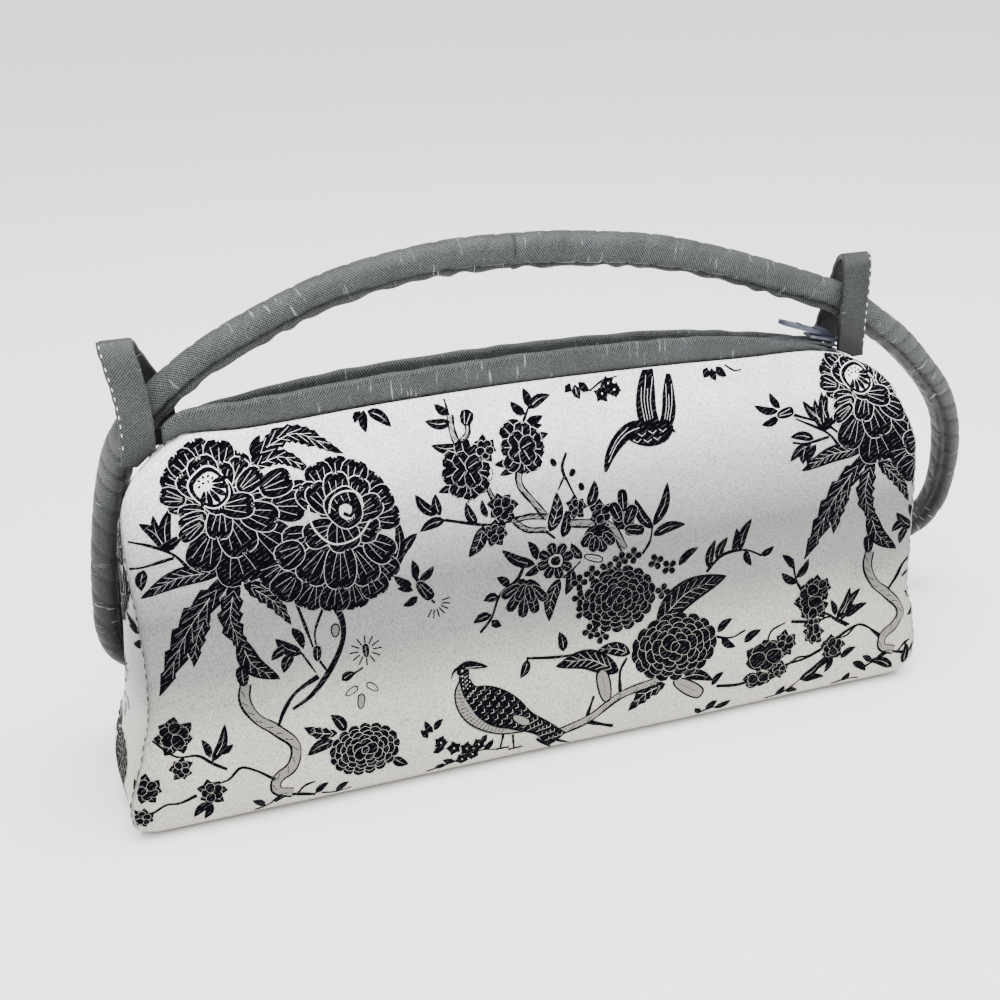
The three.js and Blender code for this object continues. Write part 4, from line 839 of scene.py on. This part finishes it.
# the right: daisies, sprigs and a bud below and before the flowers that come again
daisy(83.3, 22, 8.4, 0.62)
daisy(80, 13.4, 5.6, 0.5)
for place in ((105.8, 44.2, 4.8), (103.3, 37.4, 5.6), (103.3, 26.8, 4), (110.4, 19.6, 4.2)):
    daisy(*place)
petal(93.8, 112, 7.4, 4.4, 0.2, BLACK, 1, 0.22, 2)
for root, tip, wide in (
        ((91, 113), (82, 115.8), 2.2), ((91, 111), (84, 109), 2.2), ((92, 114), (88.6, 119.6), 2.2),
        ((110.8, 106.2), (109.2, 117.6), 2.8), ((109.4, 107), (101.2, 115.4), 2.8), ((111.4, 105.6), (115.6, 109), 2.2),
        ((104.2, 101.6), (94.8, 103.4), 2.6), ((103, 100), (94.2, 94.8), 2.8), ((105, 99.4), (101, 92.6), 2.4),
        ((115, 30.3), (123, 41.4), 3), ((117, 31), (126, 35), 2.4), ((97.5, 9.1), (107.4, 16.6), 2.6),
        ((99, 8.4), (108, 8.6), 2.2), ((96.8, 48), (90.6, 53), 2.4), ((96.6, 50), (101.6, 56.6), 2.4),
        ((95.4, 54), (90.8, 60), 2.2), ((137.5, 6.4), (127, 11.5), 3), ((142, 7), (142.6, 16), 3),
        ((120, 12), (126, 7), 2.4), ((114.6, 15), (121, 18.4), 2.2)):
    leaf(root, tip, wide)
for row in ((1, 56, 3.6, 61, 5.4, 65.4, 4.8), (0.8, 84, 3.4, 90, 4.6, 97.5, 9.1), (0.9, 112, 3.4, 118, 4.8, 123.6, 4)):
    stem(*row)
for root, tip, wide in (((59, 4.6), (63.4, 8.2), 2.4), ((62.6, 5), (69, 7), 2.4), ((57.4, 4.2), (54.4, 7), 2),
                        ((88, 4.2), (91.4, 8.2), 2.2), ((92, 5.4), (97.4, 4), 2.2), ((116, 4.2), (119, 8), 2.2)):
    leaf(root, tip, wide)

black_thread, tree, shader = new_finish("black_thread", 0.75, 0.0, 0.03)
cut = node(tree, "UVMap").outputs[0]
weave = woven(tree, cut, 0.5 * MM, 0.5)
slant = node(tree, "Mapping", {"Vector": cut, "Rotation": (0, 0, 1.05)}).outputs[0]
tie = node(tree, "TexWave", {"Vector": slant, "Scale": 225.0, "Distortion": 2.5, "Detail": 1.0, "Detail Scale": 1.2},
           bands_direction="X").outputs["Fac"]
broken = node(tree, "TexNoise", {"Vector": cut, "Scale": 520.0, "Detail": 1.0}).outputs["Fac"]
tied = mix(tree, 1.0, ramp(tree, tie, (0.965, 0.0), (0.995, 1.0)), ramp(tree, broken, (0.46, 0.0), (0.6, 0.7)), "MULTIPLY")
tree.links.new(mix(tree, tied, (0.0008, 0.001, 0.0022, 1), (0.15, 0.15, 0.16, 1)), shader["Base Color"])
bump(tree, shader, weave["Height"], 0.1 * MM, 0.3)

white_thread, tree, shader = new_finish("white_thread", 0.5, 0.15)
cut = node(tree, "UVMap").outputs[0]
weave = woven(tree, cut, 0.5 * MM, 0.5)
raised = ramp(tree, weave["Grain"], (0.3, 0.8), (0.7, 1.25))
# the white thread takes the ground's colour, with its painted light by height
tree.links.new(mix(tree, 1.0, ground_color_and_painted_light(tree), raised, "MULTIPLY"), shader["Base Color"])
bump(tree, shader, weave["Height"], 0.12 * MM, 0.4)

grey_thread, tree, shader = new_finish("grey_thread", 0.5, 0.12)
cut = node(tree, "UVMap").outputs[0]
weave = woven(tree, cut, 0.5 * MM, 0.5)
hatch = node(tree, "TexWave", {"Vector": cut, "Scale": 640.0, "Distortion": 1.6, "Detail": 1.0, "Detail Scale": 2.0},
             bands_direction="Y").outputs["Fac"]
dark = ramp(tree, hatch, (0.4, 0.62), (0.62, 0.14))
# the grey thread takes the ground's colour, with its painted light by height
tree.links.new(mix(tree, 1.0, ground_color_and_painted_light(tree), dark, "MULTIPLY"), shader["Base Color"])
bump(tree, shader, weave["Height"], 0.12 * MM, 0.4)


def lay(flat, lowest, highest, place, edge):
    """Part of the chart laid on the cloth: cut level above and below, and ended at the seams."""
    bm = flat.copy()
    for height, way in ((lowest, -1), (highest, 1)):
        bmesh.ops.bisect_plane(bm, geom=bm.verts[:] + bm.edges[:] + bm.faces[:], dist=1e-4,
                               plane_co=(0, height, 0), plane_no=(0, way, 0), clear_outer=True)
    bm.verts.index_update()
    flat_at = np.array([v.co[:] for v in bm.verts])
    low, high = edge(flat_at[:, 1])
    beyond = (flat_at[:, 0] < low) | (flat_at[:, 0] > high)
    gone = [f for f in bm.faces if all(beyond[v.index] for v in f.verts)]
    layer = bm.loops.layers.uv.active
    for face in bm.faces:
        for loop in face.loops:
            loop[layer].uv = (loop.vert.co.x * MM, loop.vert.co.y * MM)
    lift = (PROUD + LAYER * flat_at[:, 2]) * MM
    placed = place(np.clip(flat_at[:, 0], low, high), flat_at[:, 1], lift)
    for vert, where in zip(bm.verts, placed):
        vert.co = where
    bmesh.ops.delete(bm, geom=gone, context="FACES")
    return bm


def on_body(side):
    """The chart on the front or the back, as it is seen from that side."""
    def edge(v):
        up = np.clip(v * MM, 0, HEIGHT)
        reach = [half_length(up, np.full_like(up, -side * hand), np.full_like(up, side)) / MM for hand in (LEFT, RIGHT)]
        return 0.9 - reach[0], reach[1] - 0.9

    def place(x, v, lift):
        return cloth(np.full_like(x, side), -side * x * MM, v * MM, lift)
    return place, edge


def on_gusset(end, start):
    """The chart on a gusset, from start at its front seam."""
    def depth(v):
        up = np.clip(v * MM, FOLD, HEIGHT)
        return 2 * (HALF_MOUTH + (HALF_DEPTH - HALF_MOUTH) * face_out(up / HEIGHT)) / MM - 2

    def edge(v):
        wide = depth(v)
        return (start + 2.5, start + wide - 2.5) if end > 0 else (start - wide + 2.5, start - 2.5)

    def place(x, v, lift):
        across = 2 * np.abs(x - start) / depth(v) - 1
        return gusset_point(end, v * MM, across, lift)
    return place, edge


for thread, material in ((BLACK, black_thread), (WHITE, white_thread), (GREY, grey_thread)):
    bm = new_mesh()
    for lowest, highest, (place, edge) in ((-1.5, 131.5, on_body(FRONT)), (-1.5, 131.5, on_body(BACK)),
                                           (-1.5, 122, on_gusset(LEFT, -44.0)), (-1.5, 122, on_gusset(RIGHT, 52.0))):
        laid = lay(chart[thread], lowest, highest, place, edge)
        mesh = bpy.data.meshes.new("laid")
        laid.to_mesh(mesh)
        laid.free()
        bm.from_mesh(mesh)
        bpy.data.meshes.remove(mesh)
    chart[thread].free()
    piece("brocade_" + material.name, bm, material)

# The bindings: bias-cut grey silk folded over each edge of the mouth, hand sewn along its foot. A fine
# slanting twill with pale slubs shows on the silk.
BINDING_TALL = 9 * MM
BINDING_THICK = 3.4 * MM
BINDING_MIDDLE = HALF_MOUTH - WALL / 2 - 0.8 * MM
FRONT_BINDING = smooth([-0.815, -0.78, -0.7, -0.4, 0.3, 0.5, 0.62, 0.72, 0.8],
                       [0.62, 0.78, 0.92, 1.0, 1.0, 0.9, 0.64, 0.3, 0.14])
BACK_BINDING = smooth([-0.745, -0.66, -0.55, -0.35, 0.3, 0.5, 0.62, 0.76],
                      [0.25, 0.6, 0.85, 0.95, 0.92, 0.75, 0.5, 0.16])

silk, tree, shader = new_finish("grey_silk", 0.48, 0.02, 0.28)
cut = node(tree, "UVMap").outputs[0]
weave = woven(tree, cut, 0.72 * MM, 0.62)
slub_way = node(tree, "Mapping", {"Vector": cut, "Rotation": (0, 0, 0.5), "Scale": (820, 95, 1)}).outputs[0]
slub = node(tree, "TexNoise", {"Vector": slub_way, "Scale": 1.0, "Detail": 2.0}).outputs["Fac"]
patchy = node(tree, "TexNoise", {"Vector": cut, "Scale": 70.0, "Detail": 2.0}).outputs["Fac"]
silk_tone = ramp(tree, weave["Height"], (0.42, (0.0065, 0.0076, 0.0081)), (0.72, (0.025, 0.0282, 0.0291)),
                 (1.0, (0.118, 0.126, 0.128)))
streak = mix(tree, 1.0, ramp(tree, slub, (0.64, 0.0), (0.7, 0.62)), ramp(tree, patchy, (0.44, 0.0), (0.58, 0.9)), "MULTIPLY")
patched = ramp(tree, patchy, (0.3, 0.8), (0.7, 1.15))
# painted shade from the shade attribute: darker at seams, in grooves and on parts turned from the light
painted_shade = node(tree, "Attribute", attribute_name="shade").outputs["Fac"]
plain_silk = mix(tree, 1.0, mix(tree, 1.0, silk_tone, patched, "MULTIPLY"), ramp(tree, painted_shade, (0.0, 1.0), (1.0, 0.12)), "MULTIPLY")
tree.links.new(mix(tree, streak, plain_silk, (0.40, 0.42, 0.42, 1)), shader["Base Color"])
bump(tree, shader, weave["Height"], 0.2 * MM, 0.55)


def edge_height(x, side):
    """The height of the body's upper edge at x: the mouth, then the rounded corner beyond it."""
    x = np.asarray(x, float)
    end = np.sign(x) + (x == 0)
    ups = np.linspace(1.0, 0.6, 200) * HEIGHT
    mouth_half = half_length(np.full_like(x, HEIGHT), end, np.full_like(x, side))
    height = HEIGHT * (1 - mouth_drop(x / mouth_half))
    for one in (LEFT, RIGHT):
        corner = cloth(side, one * half_length(ups, one, side), ups)
        beyond = (end == one) & (np.abs(x) > mouth_half)
        height = np.where(beyond, np.interp(np.abs(x), np.abs(corner[:, 0]), corner[:, 2]), height)
    return height


def close_up(bm):
    """Joins a sleeve's long seam and closes its ends."""
    bmesh.ops.remove_doubles(bm, verts=bm.verts, dist=0.002 * MM)
    bmesh.ops.holes_fill(bm, edges=[e for e in bm.edges if e.is_boundary], sides=0)
    bmesh.ops.recalc_face_normals(bm, faces=bm.faces)


for name, side, tall, start, stop in (("binding_front", FRONT, FRONT_BINDING, -0.815, 0.8),
                                      ("binding_back", BACK, BACK_BINDING, -0.745, 0.76)):
    def binding_shape(t, c):
        x = HALF_LENGTH * (start + (stop - start) * t)
        high = BINDING_TALL * tall(x / HALF_LENGTH)
        half = BINDING_THICK / 2
        crown = np.minimum(half, high / 2)
        turn = c * math.pi
        # up one face, over the rounded fold, down the other, and under
        s = (c + 1) / 2
        wide = np.interp(s, [0, 0.08, 0.42, 0.5, 0.58, 0.92, 1], [0, 1, 0.92, 0, -0.92, -1, 0])
        rise = np.interp(s, [0, 0.08, 0.42, 0.5, 0.58, 0.92, 1], [0, 0, 1, 1, 1, 0, 0])
        dome = np.where((s > 0.42) & (s < 0.58), np.sqrt(np.clip(1 - ((s - 0.5) / 0.08) ** 2, 0, 1)), 0)
        z = rise * (high - crown) + dome * crown + CLEAR * (1 - rise)
        roll = 0.25 * MM * ripple(x, 11 * MM, side) * np.sin(rise * math.pi)
        gather = 0.22 * MM * ripple(x, 5.5 * MM, side + 1) * np.exp(-z / (2 * MM)) * np.abs(wide)
        y = BINDING_MIDDLE + wide * (half - 0.05 * MM) + np.sign(wide) * (roll + gather)
        z += 0.2 * MM * ripple(x, 17 * MM, side + 2) * rise
        return np.stack([x, side * y, edge_height(x, side) + z], -1)

    bm = new_mesh()
    patch(bm, 260, 40, binding_shape)
    scale_uv(bm, (stop - start) * HALF_LENGTH, 24 * MM)
    close_up(bm)
    binding = piece(name.replace("binding", "silk_binding"), bm, silk)
    # painted shade along the binding's foot, where it meets the body
    at = places(binding)
    above = at[:, 2] - edge_height(at[:, 0], side)
    shade(binding, np.exp(-np.maximum(above - CLEAR, 0) / (0.7 * MM)))
    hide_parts(name)



def flat_section(wide, thick, count, corner=0.3):
    """Evenly spaced places once round a flat tape's section, with rounded edges."""
    turn = np.linspace(-math.pi, math.pi, 2001)
    w = np.sign(np.cos(turn)) * np.abs(np.cos(turn)) ** corner * wide / 2
    h = np.sign(np.sin(turn)) * np.abs(np.sin(turn)) ** corner * thick / 2
    far = np.concatenate([[0], np.cumsum(np.hypot(np.diff(w), np.diff(h)))])
    at = np.linspace(0, far[-1], count + 1)
    return np.interp(at, far, w), np.interp(at, far, h), far[-1]


# The zip: a woven tape sewn in under each binding, and between them the closed coil, a nylon thread wound
# so that its turns lock in the middle.
ZIP_RISE = 1.6 * MM
ZIP_FROM, SLIDER_AT = -0.747, 0.81
COIL_PITCH = 1.5 * MM

tape_weave, tree, shader = new_finish("tape_weave", 0.7, 0.03, 0.25)
cut = node(tree, "UVMap").outputs[0]
weave = woven(tree, cut, 0.6 * MM, 0.785)
tree.links.new(ramp(tree, weave["Height"], (0.4, (0.018, 0.02, 0.023)), (1.2, (0.075, 0.08, 0.088))), shader["Base Color"])
bump(tree, shader, weave["Height"], 0.2 * MM, 0.6)

for name, hand in (("zip_tape_front", FRONT), ("zip_tape_back", BACK)):
    low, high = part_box(name)
    w, h, round_it = flat_section(high[1] - low[1], 0.84 * MM, 24)

    def tape_shape(t, c):
        x = low[0] + (high[0] - low[0]) * t
        k = np.rint((c + 1) * 12).astype(int)
        z = edge_height(x, FRONT) + ZIP_RISE + h[k] + 0.12 * MM * ripple(x, 8 * MM, hand)
        return np.stack([x, (low[1] + high[1]) / 2 + w[k], z], -1)

    bm = new_mesh()
    patch(bm, 180, 24, tape_shape)
    scale_uv(bm, high[0] - low[0], round_it)
    close_up(bm)
    tape = piece(name.replace("zip", "woven"), bm, tape_weave)
    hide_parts(name)

coil_thread, tree, shader = new_finish("coil_thread", 0.42, 0.0, 0.4)
place = node(tree, "TexCoord").outputs["Object"]
cloud = node(tree, "TexNoise", {"Vector": place, "Scale": 900.0, "Detail": 2.0}).outputs["Fac"]
tree.links.new(ramp(tree, cloud, (0.3, (0.03, 0.033, 0.04)), (0.7, (0.085, 0.09, 0.10))), shader["Base Color"])
bump(tree, shader, cloud, 0.05 * MM, 0.4)
low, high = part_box("zip_coil")


def coil_shape(t, c):
    x = low[0] + (high[0] - low[0]) * t
    turn = c * math.pi
    wide = np.sign(np.cos(turn)) * np.abs(np.cos(turn)) ** 0.6
    tooth = np.abs(np.sin(math.pi * x / COIL_PITCH + np.where(wide > 0, 0, math.pi / 2) + 0.7 * wide))
    rise = np.sin(turn) * (0.55 + 0.45 * tooth) * (1 - 0.16 * np.exp(-(wide / 0.16) ** 2))
    y = wide * (1.72 + 0.2 * tooth) * MM
    return np.stack([x, y, edge_height(x, FRONT) + ZIP_RISE + rise * 1.0 * MM], -1)


bm = new_mesh()
patch(bm, 760, 18, coil_shape)
close_up(bm)
coil = piece("wound_coil", bm, coil_thread)
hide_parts("zip_coil")

# The slider and its pull: cast metal in a bluish slate paint, rubbed paler in patches.
slate, tree, shader = new_finish("slate_paint", 0.36, 0.0, 0.5)
shader["Metallic"].default_value = 0.35
place = node(tree, "TexCoord").outputs["Object"]
speckle = node(tree, "TexNoise", {"Vector": place, "Scale": 1400.0, "Detail": 3.0}).outputs["Fac"]
rubbed = node(tree, "TexNoise", {"Vector": place, "Scale": 260.0, "Detail": 4.0}).outputs["Fac"]
paint = ramp(tree, speckle, (0.3, (0.05, 0.057, 0.082)), (0.7, (0.085, 0.095, 0.13)))
bare = ramp(tree, rubbed, (0.6, 0.0), (0.72, 0.5))
tree.links.new(mix(tree, bare, paint, (0.26, 0.28, 0.33, 1)), shader["Base Color"])
tree.links.new(ramp(tree, speckle, (0.3, 0.3), (0.7, 0.46)), shader["Roughness"])
bump(tree, shader, speckle, 0.03 * MM, 0.4)
for name in ("zip_slider", "zip_pull"):
    for held in bpy.data.objects[name].material_slots:
        held.material = slate

# The handle: a tube of the same silk, stuffed with cord and sewn shut along one side, its ends joined
# into a ring that runs through both loops. Half stands over the mouth and half hangs behind.
HANDLE_RADIUS = 5.6 * MM
HANG_GAP = 1.6 * MM
ROUTE = [
    (0.0, 1.322, 0.0), (0.197, 1.306, 0.0), (0.35, 1.281, 0.0), (0.509, 1.236, 0.0), (0.634, 1.188, 0.0),
    (0.763, 1.136, 0.0), (0.86, 1.09, 0.0), (0.958, 1.018, 0.05), (1.054, 0.943, 0.24),
    (1.167, 0.833, 0.44), (1.258, 0.73, 0.6), (1.32, 0.628, 0.715), (1.362, 0.506, 0.83),
    (1.378, 0.395, 0.91), (1.375, 0.31, 0.96), (1.34, 0.238, 0.99), (1.26, 0.195, 1.0), (1.1, 0.17, 1.0),
    (0.41, 0.165, 1.02), (0.0, 0.18, 1.03), (-0.41, 0.205, 1.02), (-0.74, 0.232, 1.0),
    (-0.885, 0.24, 1.0), (-0.957, 0.265, 1.0), (-0.984, 0.33, 1.0), (-0.979, 0.46, 0.99),
    (-0.965, 0.59, 0.97), (-0.949, 0.69, 0.95), (-0.928, 0.805, 0.83), (-0.905, 0.912, 0.52),
    (-0.868, 0.998, 0.1), (-0.817, 1.057, 0.0), (-0.723, 1.131, 0.0), (-0.605, 1.196, 0.0),
    (-0.423, 1.273, 0.0), (-0.2, 1.318, 0.0),
]


RINGS, ROUND = 760, 36
route = [(at * HALF_LENGTH, behind * (float(hang_depth(up * HEIGHT)) + HANDLE_RADIUS + HANG_GAP), up * HEIGHT)
         for at, up, behind in ROUTE]
tube, tube_way, tube_length = smooth_line(route, True, RINGS)
inward = tube[:-1].mean(axis=0) - tube
inward -= tube_way * (inward * tube_way).sum(axis=1)[:, None]
inward /= np.linalg.norm(inward, axis=1)[:, None]
sideways = np.cross(tube_way, inward)
# where the sewn edge runs round the tube: on its inner side, turned to the front, winding to the left
along_tube = np.linspace(0, tube_length, RINGS + 1)
toward = np.where(sideways[:, 1] < 0, 1.0, -1.0)[:1]
seam_turn = 0.95 * toward + 0.28 * np.sin(along_tube * 2 * math.pi / tube_length * 3 + 0.6)


def on_tube(i, turn, radius):
    return tube[i] + radius[:, None] * (np.cos(turn)[:, None] * inward[i] + np.sin(turn)[:, None] * sideways[i])


def tube_radius(i, turn):
    s = along_tube[i]
    off = (turn - seam_turn[i] + math.pi) % (2 * math.pi) - math.pi
    beyond = off * toward
    groove = np.exp(-(off / 0.13) ** 2)
    ridge = np.exp(-((beyond + 0.4) / 0.24) ** 2)
    scallop = 0.5 + 0.5 * ripple(s, 11.5 * MM, 0.4)
    crease = np.exp(-(((s / (9.5 * MM) + 0.35 * off + 0.3 * np.sin(s / (31 * MM))) % 1.0) - 0.5) ** 2 / 0.006)
    return HANDLE_RADIUS * (0.985 + 0.02 * np.sin(s / (17 * MM)) + 0.014 * np.sin(s / (6.3 * MM) + 2 * turn)) \
        - 0.85 * MM * groove + 1.15 * MM * ridge * scallop - 0.62 * MM * crease * (1 - ridge)


bm = new_mesh()


def handle_shape(t, c):
    i = np.rint(t * RINGS).astype(int)
    turn = (c + 1) * math.pi
    return on_tube(i, turn, tube_radius(i, turn))


patch(bm, RINGS, ROUND, handle_shape)
scale_uv(bm, tube_length, 2 * math.pi * HANDLE_RADIUS)
close_up(bm)
handle = piece("silk_handle", bm, silk)
at = places(handle)
near = np.array([np.argmin(((tube[:-1] - p) ** 2).sum(axis=1)) for p in at])
out = at - tube[near]
turned = np.arctan2((out * sideways[near]).sum(axis=1), (out * inward[near]).sum(axis=1))
off = (turned - seam_turn[near] + math.pi) % (2 * math.pi) - math.pi
# painted shade: dark in the sewn groove and beside its ridge, and on the part that hangs low behind the purse
painted_shade_behind = 0.78 * np.clip((122 * MM - at[:, 2]) / (60 * MM), 0, 1)
shade(handle, 0.95 * np.exp(-(off / 0.16) ** 2) + 0.3 * np.exp(-((off * toward - 0.25) / 0.3) ** 2) + painted_shade_behind)
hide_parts("handle")

# The loops: silk tape folded double, both feet sewn into a corner of the mouth, with the handle through.
TAB_WIDE = 11 * MM
TAB_THICK = 2.2 * MM
TABS = {
    "tab_left": [(-0.873, 0.0, -1.08), (-0.868, 0.965, -1.08), (-0.866, 1.04, -1.08), (-0.871, 1.11, -1.02),
                 (-0.88, 1.17, -0.75), (-0.885, 1.205, -0.2), (-0.881, 1.195, 0.35), (-0.862, 1.148, 0.88),
                 (-0.842, 1.1, 1.3), (-0.815, 1.03, 1.34), (-0.807, 0.0, 1.25)],
    "tab_right": [(0.865, 0.0, -1.08), (0.865, 0.96, -1.08), (0.868, 1.06, -1.08), (0.874, 1.14, -0.97),
                  (0.884, 1.192, -0.6), (0.895, 1.206, 0.0), (0.9, 1.192, 0.6), (0.897, 1.14, 0.98),
                  (0.88, 1.06, 1.1), (0.862, 0.99, 1.12), (0.85, 0.0, 1.12)],
}
tab_lines = {}
section_w, section_h, section_round = flat_section(TAB_WIDE, TAB_THICK, 48)
for name, table in TABS.items():
    line = []
    for at, up, apart in table:
        x = at * HALF_LENGTH
        foot = float(edge_height(x, math.copysign(1, apart))) + CLEAR
        line.append((x, apart * (HANDLE_RADIUS + CLEAR + TAB_THICK / 2), max(up * HEIGHT, foot)))
    middle, way, length = smooth_line(line, False, 120)
    across = np.array([1.0, 0, 0]) - way * way[:, :1]
    across /= np.linalg.norm(across, axis=1)[:, None]
    thick = np.cross(way, across)
    tab_lines[name] = (middle, way, across, thick, length)

    def tab_shape(t, c):
        i = np.rint(t * 120).astype(int)
        k = np.rint((c + 1) * 24).astype(int)
        # the two layers part along each edge, and the edges pucker at the stitches
        parted = 1 - 0.035 * np.exp(-(section_h[k] / (0.3 * MM)) ** 2)
        wide = parted * (0.97 + 0.025 * ripple(t * length, 6 * MM, 1.0))
        place = middle[i] + across[i] * (section_w[k] * wide)[:, None] + thick[i] * section_h[k][:, None]
        front = place[:, 1] < 0
        seat = np.where(front, edge_height(place[:, 0], FRONT), edge_height(place[:, 0], BACK)) + 0.6 * MM
        place[:, 2] = np.maximum(place[:, 2], seat)
        return place

    bm = new_mesh()
    patch(bm, 120, 48, tab_shape)
    scale_uv(bm, length, section_round)
    close_up(bm)
    tab = piece(name.replace("tab", "silk_loop"), bm, silk)
    # painted shade: dark at the feet, reaching higher on the right loop, and a darker cast on the back layers and over
    # the right loop
    at = places(tab)
    low_down = at[:, 2] - edge_height(at[:, 0], FRONT)
    facing = np.where(at[:, 1] < 0, 1.0, 0.75)
    painted_shade_base, painted_shade_reach = (0.46, 7 * MM) if name == "tab_right" else (0.1, 4.5 * MM)
    shade(tab, facing * np.exp(-np.maximum(low_down - 0.6 * MM, 0) / painted_shade_reach) + np.where(at[:, 1] > 0, 0.5, painted_shade_base))
    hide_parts(name)

# The hand sewing: the handle's long seam, the feet of the bindings, the ends of the body and one edge of each
# loop are all sewn with doubled thread, dark on the body and pale where it frays at the loops.


def stitches(bm, line, out, long, gap, thick):
    """Stitches along a line of places, lying on the cloth that out points away from."""
    far = np.concatenate([[0], np.cumsum(np.linalg.norm(np.diff(line, axis=0), axis=1))])
    start = gap
    while start + long < far[-1]:
        ends = [Vector([np.interp(s, far, line[:, k]) for k in range(3)]) for s in (start, start + long)]
        up = Vector([np.interp(start, far, out[:, k]) for k in range(3)]).normalized()
        way = (ends[1] - ends[0]).normalized()
        across = up.cross(way).normalized()
        up = way.cross(across)
        frame_of = Matrix((way, across, up)).transposed().to_4x4()
        grown = Matrix.Diagonal((long / 2, thick, thick * 0.8, 1))
        middle = (ends[0] + ends[1]) / 2
        bmesh.ops.create_uvsphere(bm, u_segments=6, v_segments=4, radius=1,
                                  matrix=Matrix.Translation(middle) @ frame_of @ grown)
        start += long + gap * (1 + 0.35 * math.sin(37 * start / MM))


dark_sewing, tree, shader = new_finish("dark_sewing", 0.6, 0.0, 0.2)
place = node(tree, "TexCoord").outputs["Object"]
twist = node(tree, "TexNoise", {"Vector": place, "Scale": 2500.0, "Detail": 1.0}).outputs["Fac"]
tree.links.new(ramp(tree, twist, (0.3, (0.008, 0.009, 0.011)), (0.7, (0.03, 0.032, 0.036))), shader["Base Color"])

bm = new_mesh()
rings = np.arange(0, RINGS, 2)
stitches(bm, on_tube(rings, seam_turn[rings], tube_radius(rings, seam_turn[rings]) + 0.25 * MM),
         tube[rings] * 0 + on_tube(rings, seam_turn[rings], np.full(len(rings), 1.0)) - tube[rings], 2.6 * MM, 2.2 * MM, 0.28 * MM)
stitched = piece("handle_stitches", bm, dark_sewing)

bm = new_mesh()
ups = np.linspace(4 * MM, 128 * MM, 160)
for side in (FRONT, BACK):
    for end in (LEFT, RIGHT):
        seam = cloth(side, end * (half_length(ups, end, side) + 0.1 * MM), ups, -0.2 * MM)
        stitches(bm, seam, np.tile((end, side * 0.4, 0.0), (len(ups), 1)), 2.3 * MM, 1.5 * MM, 0.24 * MM)
for side, start, stop in ((FRONT, -0.81, 0.79), (BACK, -0.74, 0.75)):
    x = np.linspace(start, stop, 240) * HALF_LENGTH
    foot = np.stack([x, np.full_like(x, side * (BINDING_MIDDLE + BINDING_THICK / 2 + 0.15 * MM)), edge_height(x, side) + 0.4 * MM], -1)
    stitches(bm, foot, np.tile((0.0, side, 0.0), (len(x), 1)), 1.8 * MM, 2.6 * MM, 0.22 * MM)
sewn = piece("body_stitches", bm, dark_sewing)

bm = new_mesh()
for name, hand in (("tab_left", -1), ("tab_right", 1)):
    middle, way, across, thick, length = tab_lines[name]
    for edge, face in ((hand, 1.0), (hand, -1.0)):
        keep = [i for i in range(len(middle)) if middle[i][2] > edge_height(middle[i][0], math.copysign(1, middle[i][1])) + 3 * MM]
        line = middle[keep] + across[keep] * edge * (TAB_WIDE / 2 - 0.9 * MM) + thick[keep] * face * (TAB_THICK / 2 + 0.02 * MM)
        stitches(bm, line, thick[keep] * face, 1.5 * MM, 2.1 * MM, 0.18 * MM)
frayed = piece("loop_stitches", bm, white_thread)

# The stage: a pale floor, soft light from above and in front, and the camera.
floor_mesh = new_mesh()
bmesh.ops.create_grid(floor_mesh, x_segments=1, y_segments=1, size=40)
plain, tree, shader = new_finish("floor", 0.9, 0.0)
shader["Base Color"].default_value = (0.94, 0.94, 0.94, 1)
mesh = bpy.data.meshes.new("floor")
floor_mesh.to_mesh(mesh)
floor_mesh.free()
mesh.materials.append(plain)
floor = bpy.data.objects.new("floor", mesh)
bpy.context.scene.collection.objects.link(floor)

world = bpy.data.worlds.new("studio")
world.use_nodes = True
world.node_tree.nodes["Background"].inputs["Color"].default_value = (1, 1, 1, 1)
world.node_tree.nodes["Background"].inputs["Strength"].default_value = 0.8
bpy.context.scene.world = world

for name, place, size, watts in (("key", (-0.45, -0.75, 1.25), 0.9, 16), ("top", (0.1, 0.0, 1.4), 0.9, 22),
                                 ("fill", (0.9, -0.9, 0.6), 0.9, 3)):
    lamp = bpy.data.lights.new(name, "AREA")
    lamp.size, lamp.energy = size, watts
    light = bpy.data.objects.new(name, lamp)
    light.location = place
    light.rotation_euler = (Vector((0, 0, 0.06)) - Vector(place)).to_track_quat("-Z", "Y").to_euler()
    bpy.context.scene.collection.objects.link(light)

lamp = bpy.data.lights.new("sky", "SUN")
lamp.energy, lamp.angle = 3.5, math.radians(60)
light = bpy.data.objects.new("sky", lamp)
light.rotation_euler = Vector((-0.12, 0.16, -1)).to_track_quat("-Z", "Y").to_euler()
bpy.context.scene.collection.objects.link(light)

yaw, pitch, roll = (math.radians(a) for a in (-17.672, 22.924, -2.101))
back = Vector((math.sin(yaw) * math.cos(pitch), -math.cos(yaw) * math.cos(pitch), math.sin(pitch)))
right = (-back).cross(Vector((0, 0, 1))).normalized()
above = right.cross(-back)
right, above = right * math.cos(roll) + above * math.sin(roll), above * math.cos(roll) - right * math.sin(roll)
lens = bpy.data.cameras.new("camera")
lens.sensor_width, lens.lens = 36, 48.25
lens.sensor_fit = "HORIZONTAL"
lens.clip_start = 0.01
camera = bpy.data.objects.new("camera", lens)
turn = Matrix((right, above, back)).transposed().to_4x4()
camera.matrix_world = Matrix.Translation(Vector((-0.006822, 0, 0.086872)) + back * 0.469703) @ turn
bpy.context.scene.collection.objects.link(camera)
bpy.context.scene.camera = camera
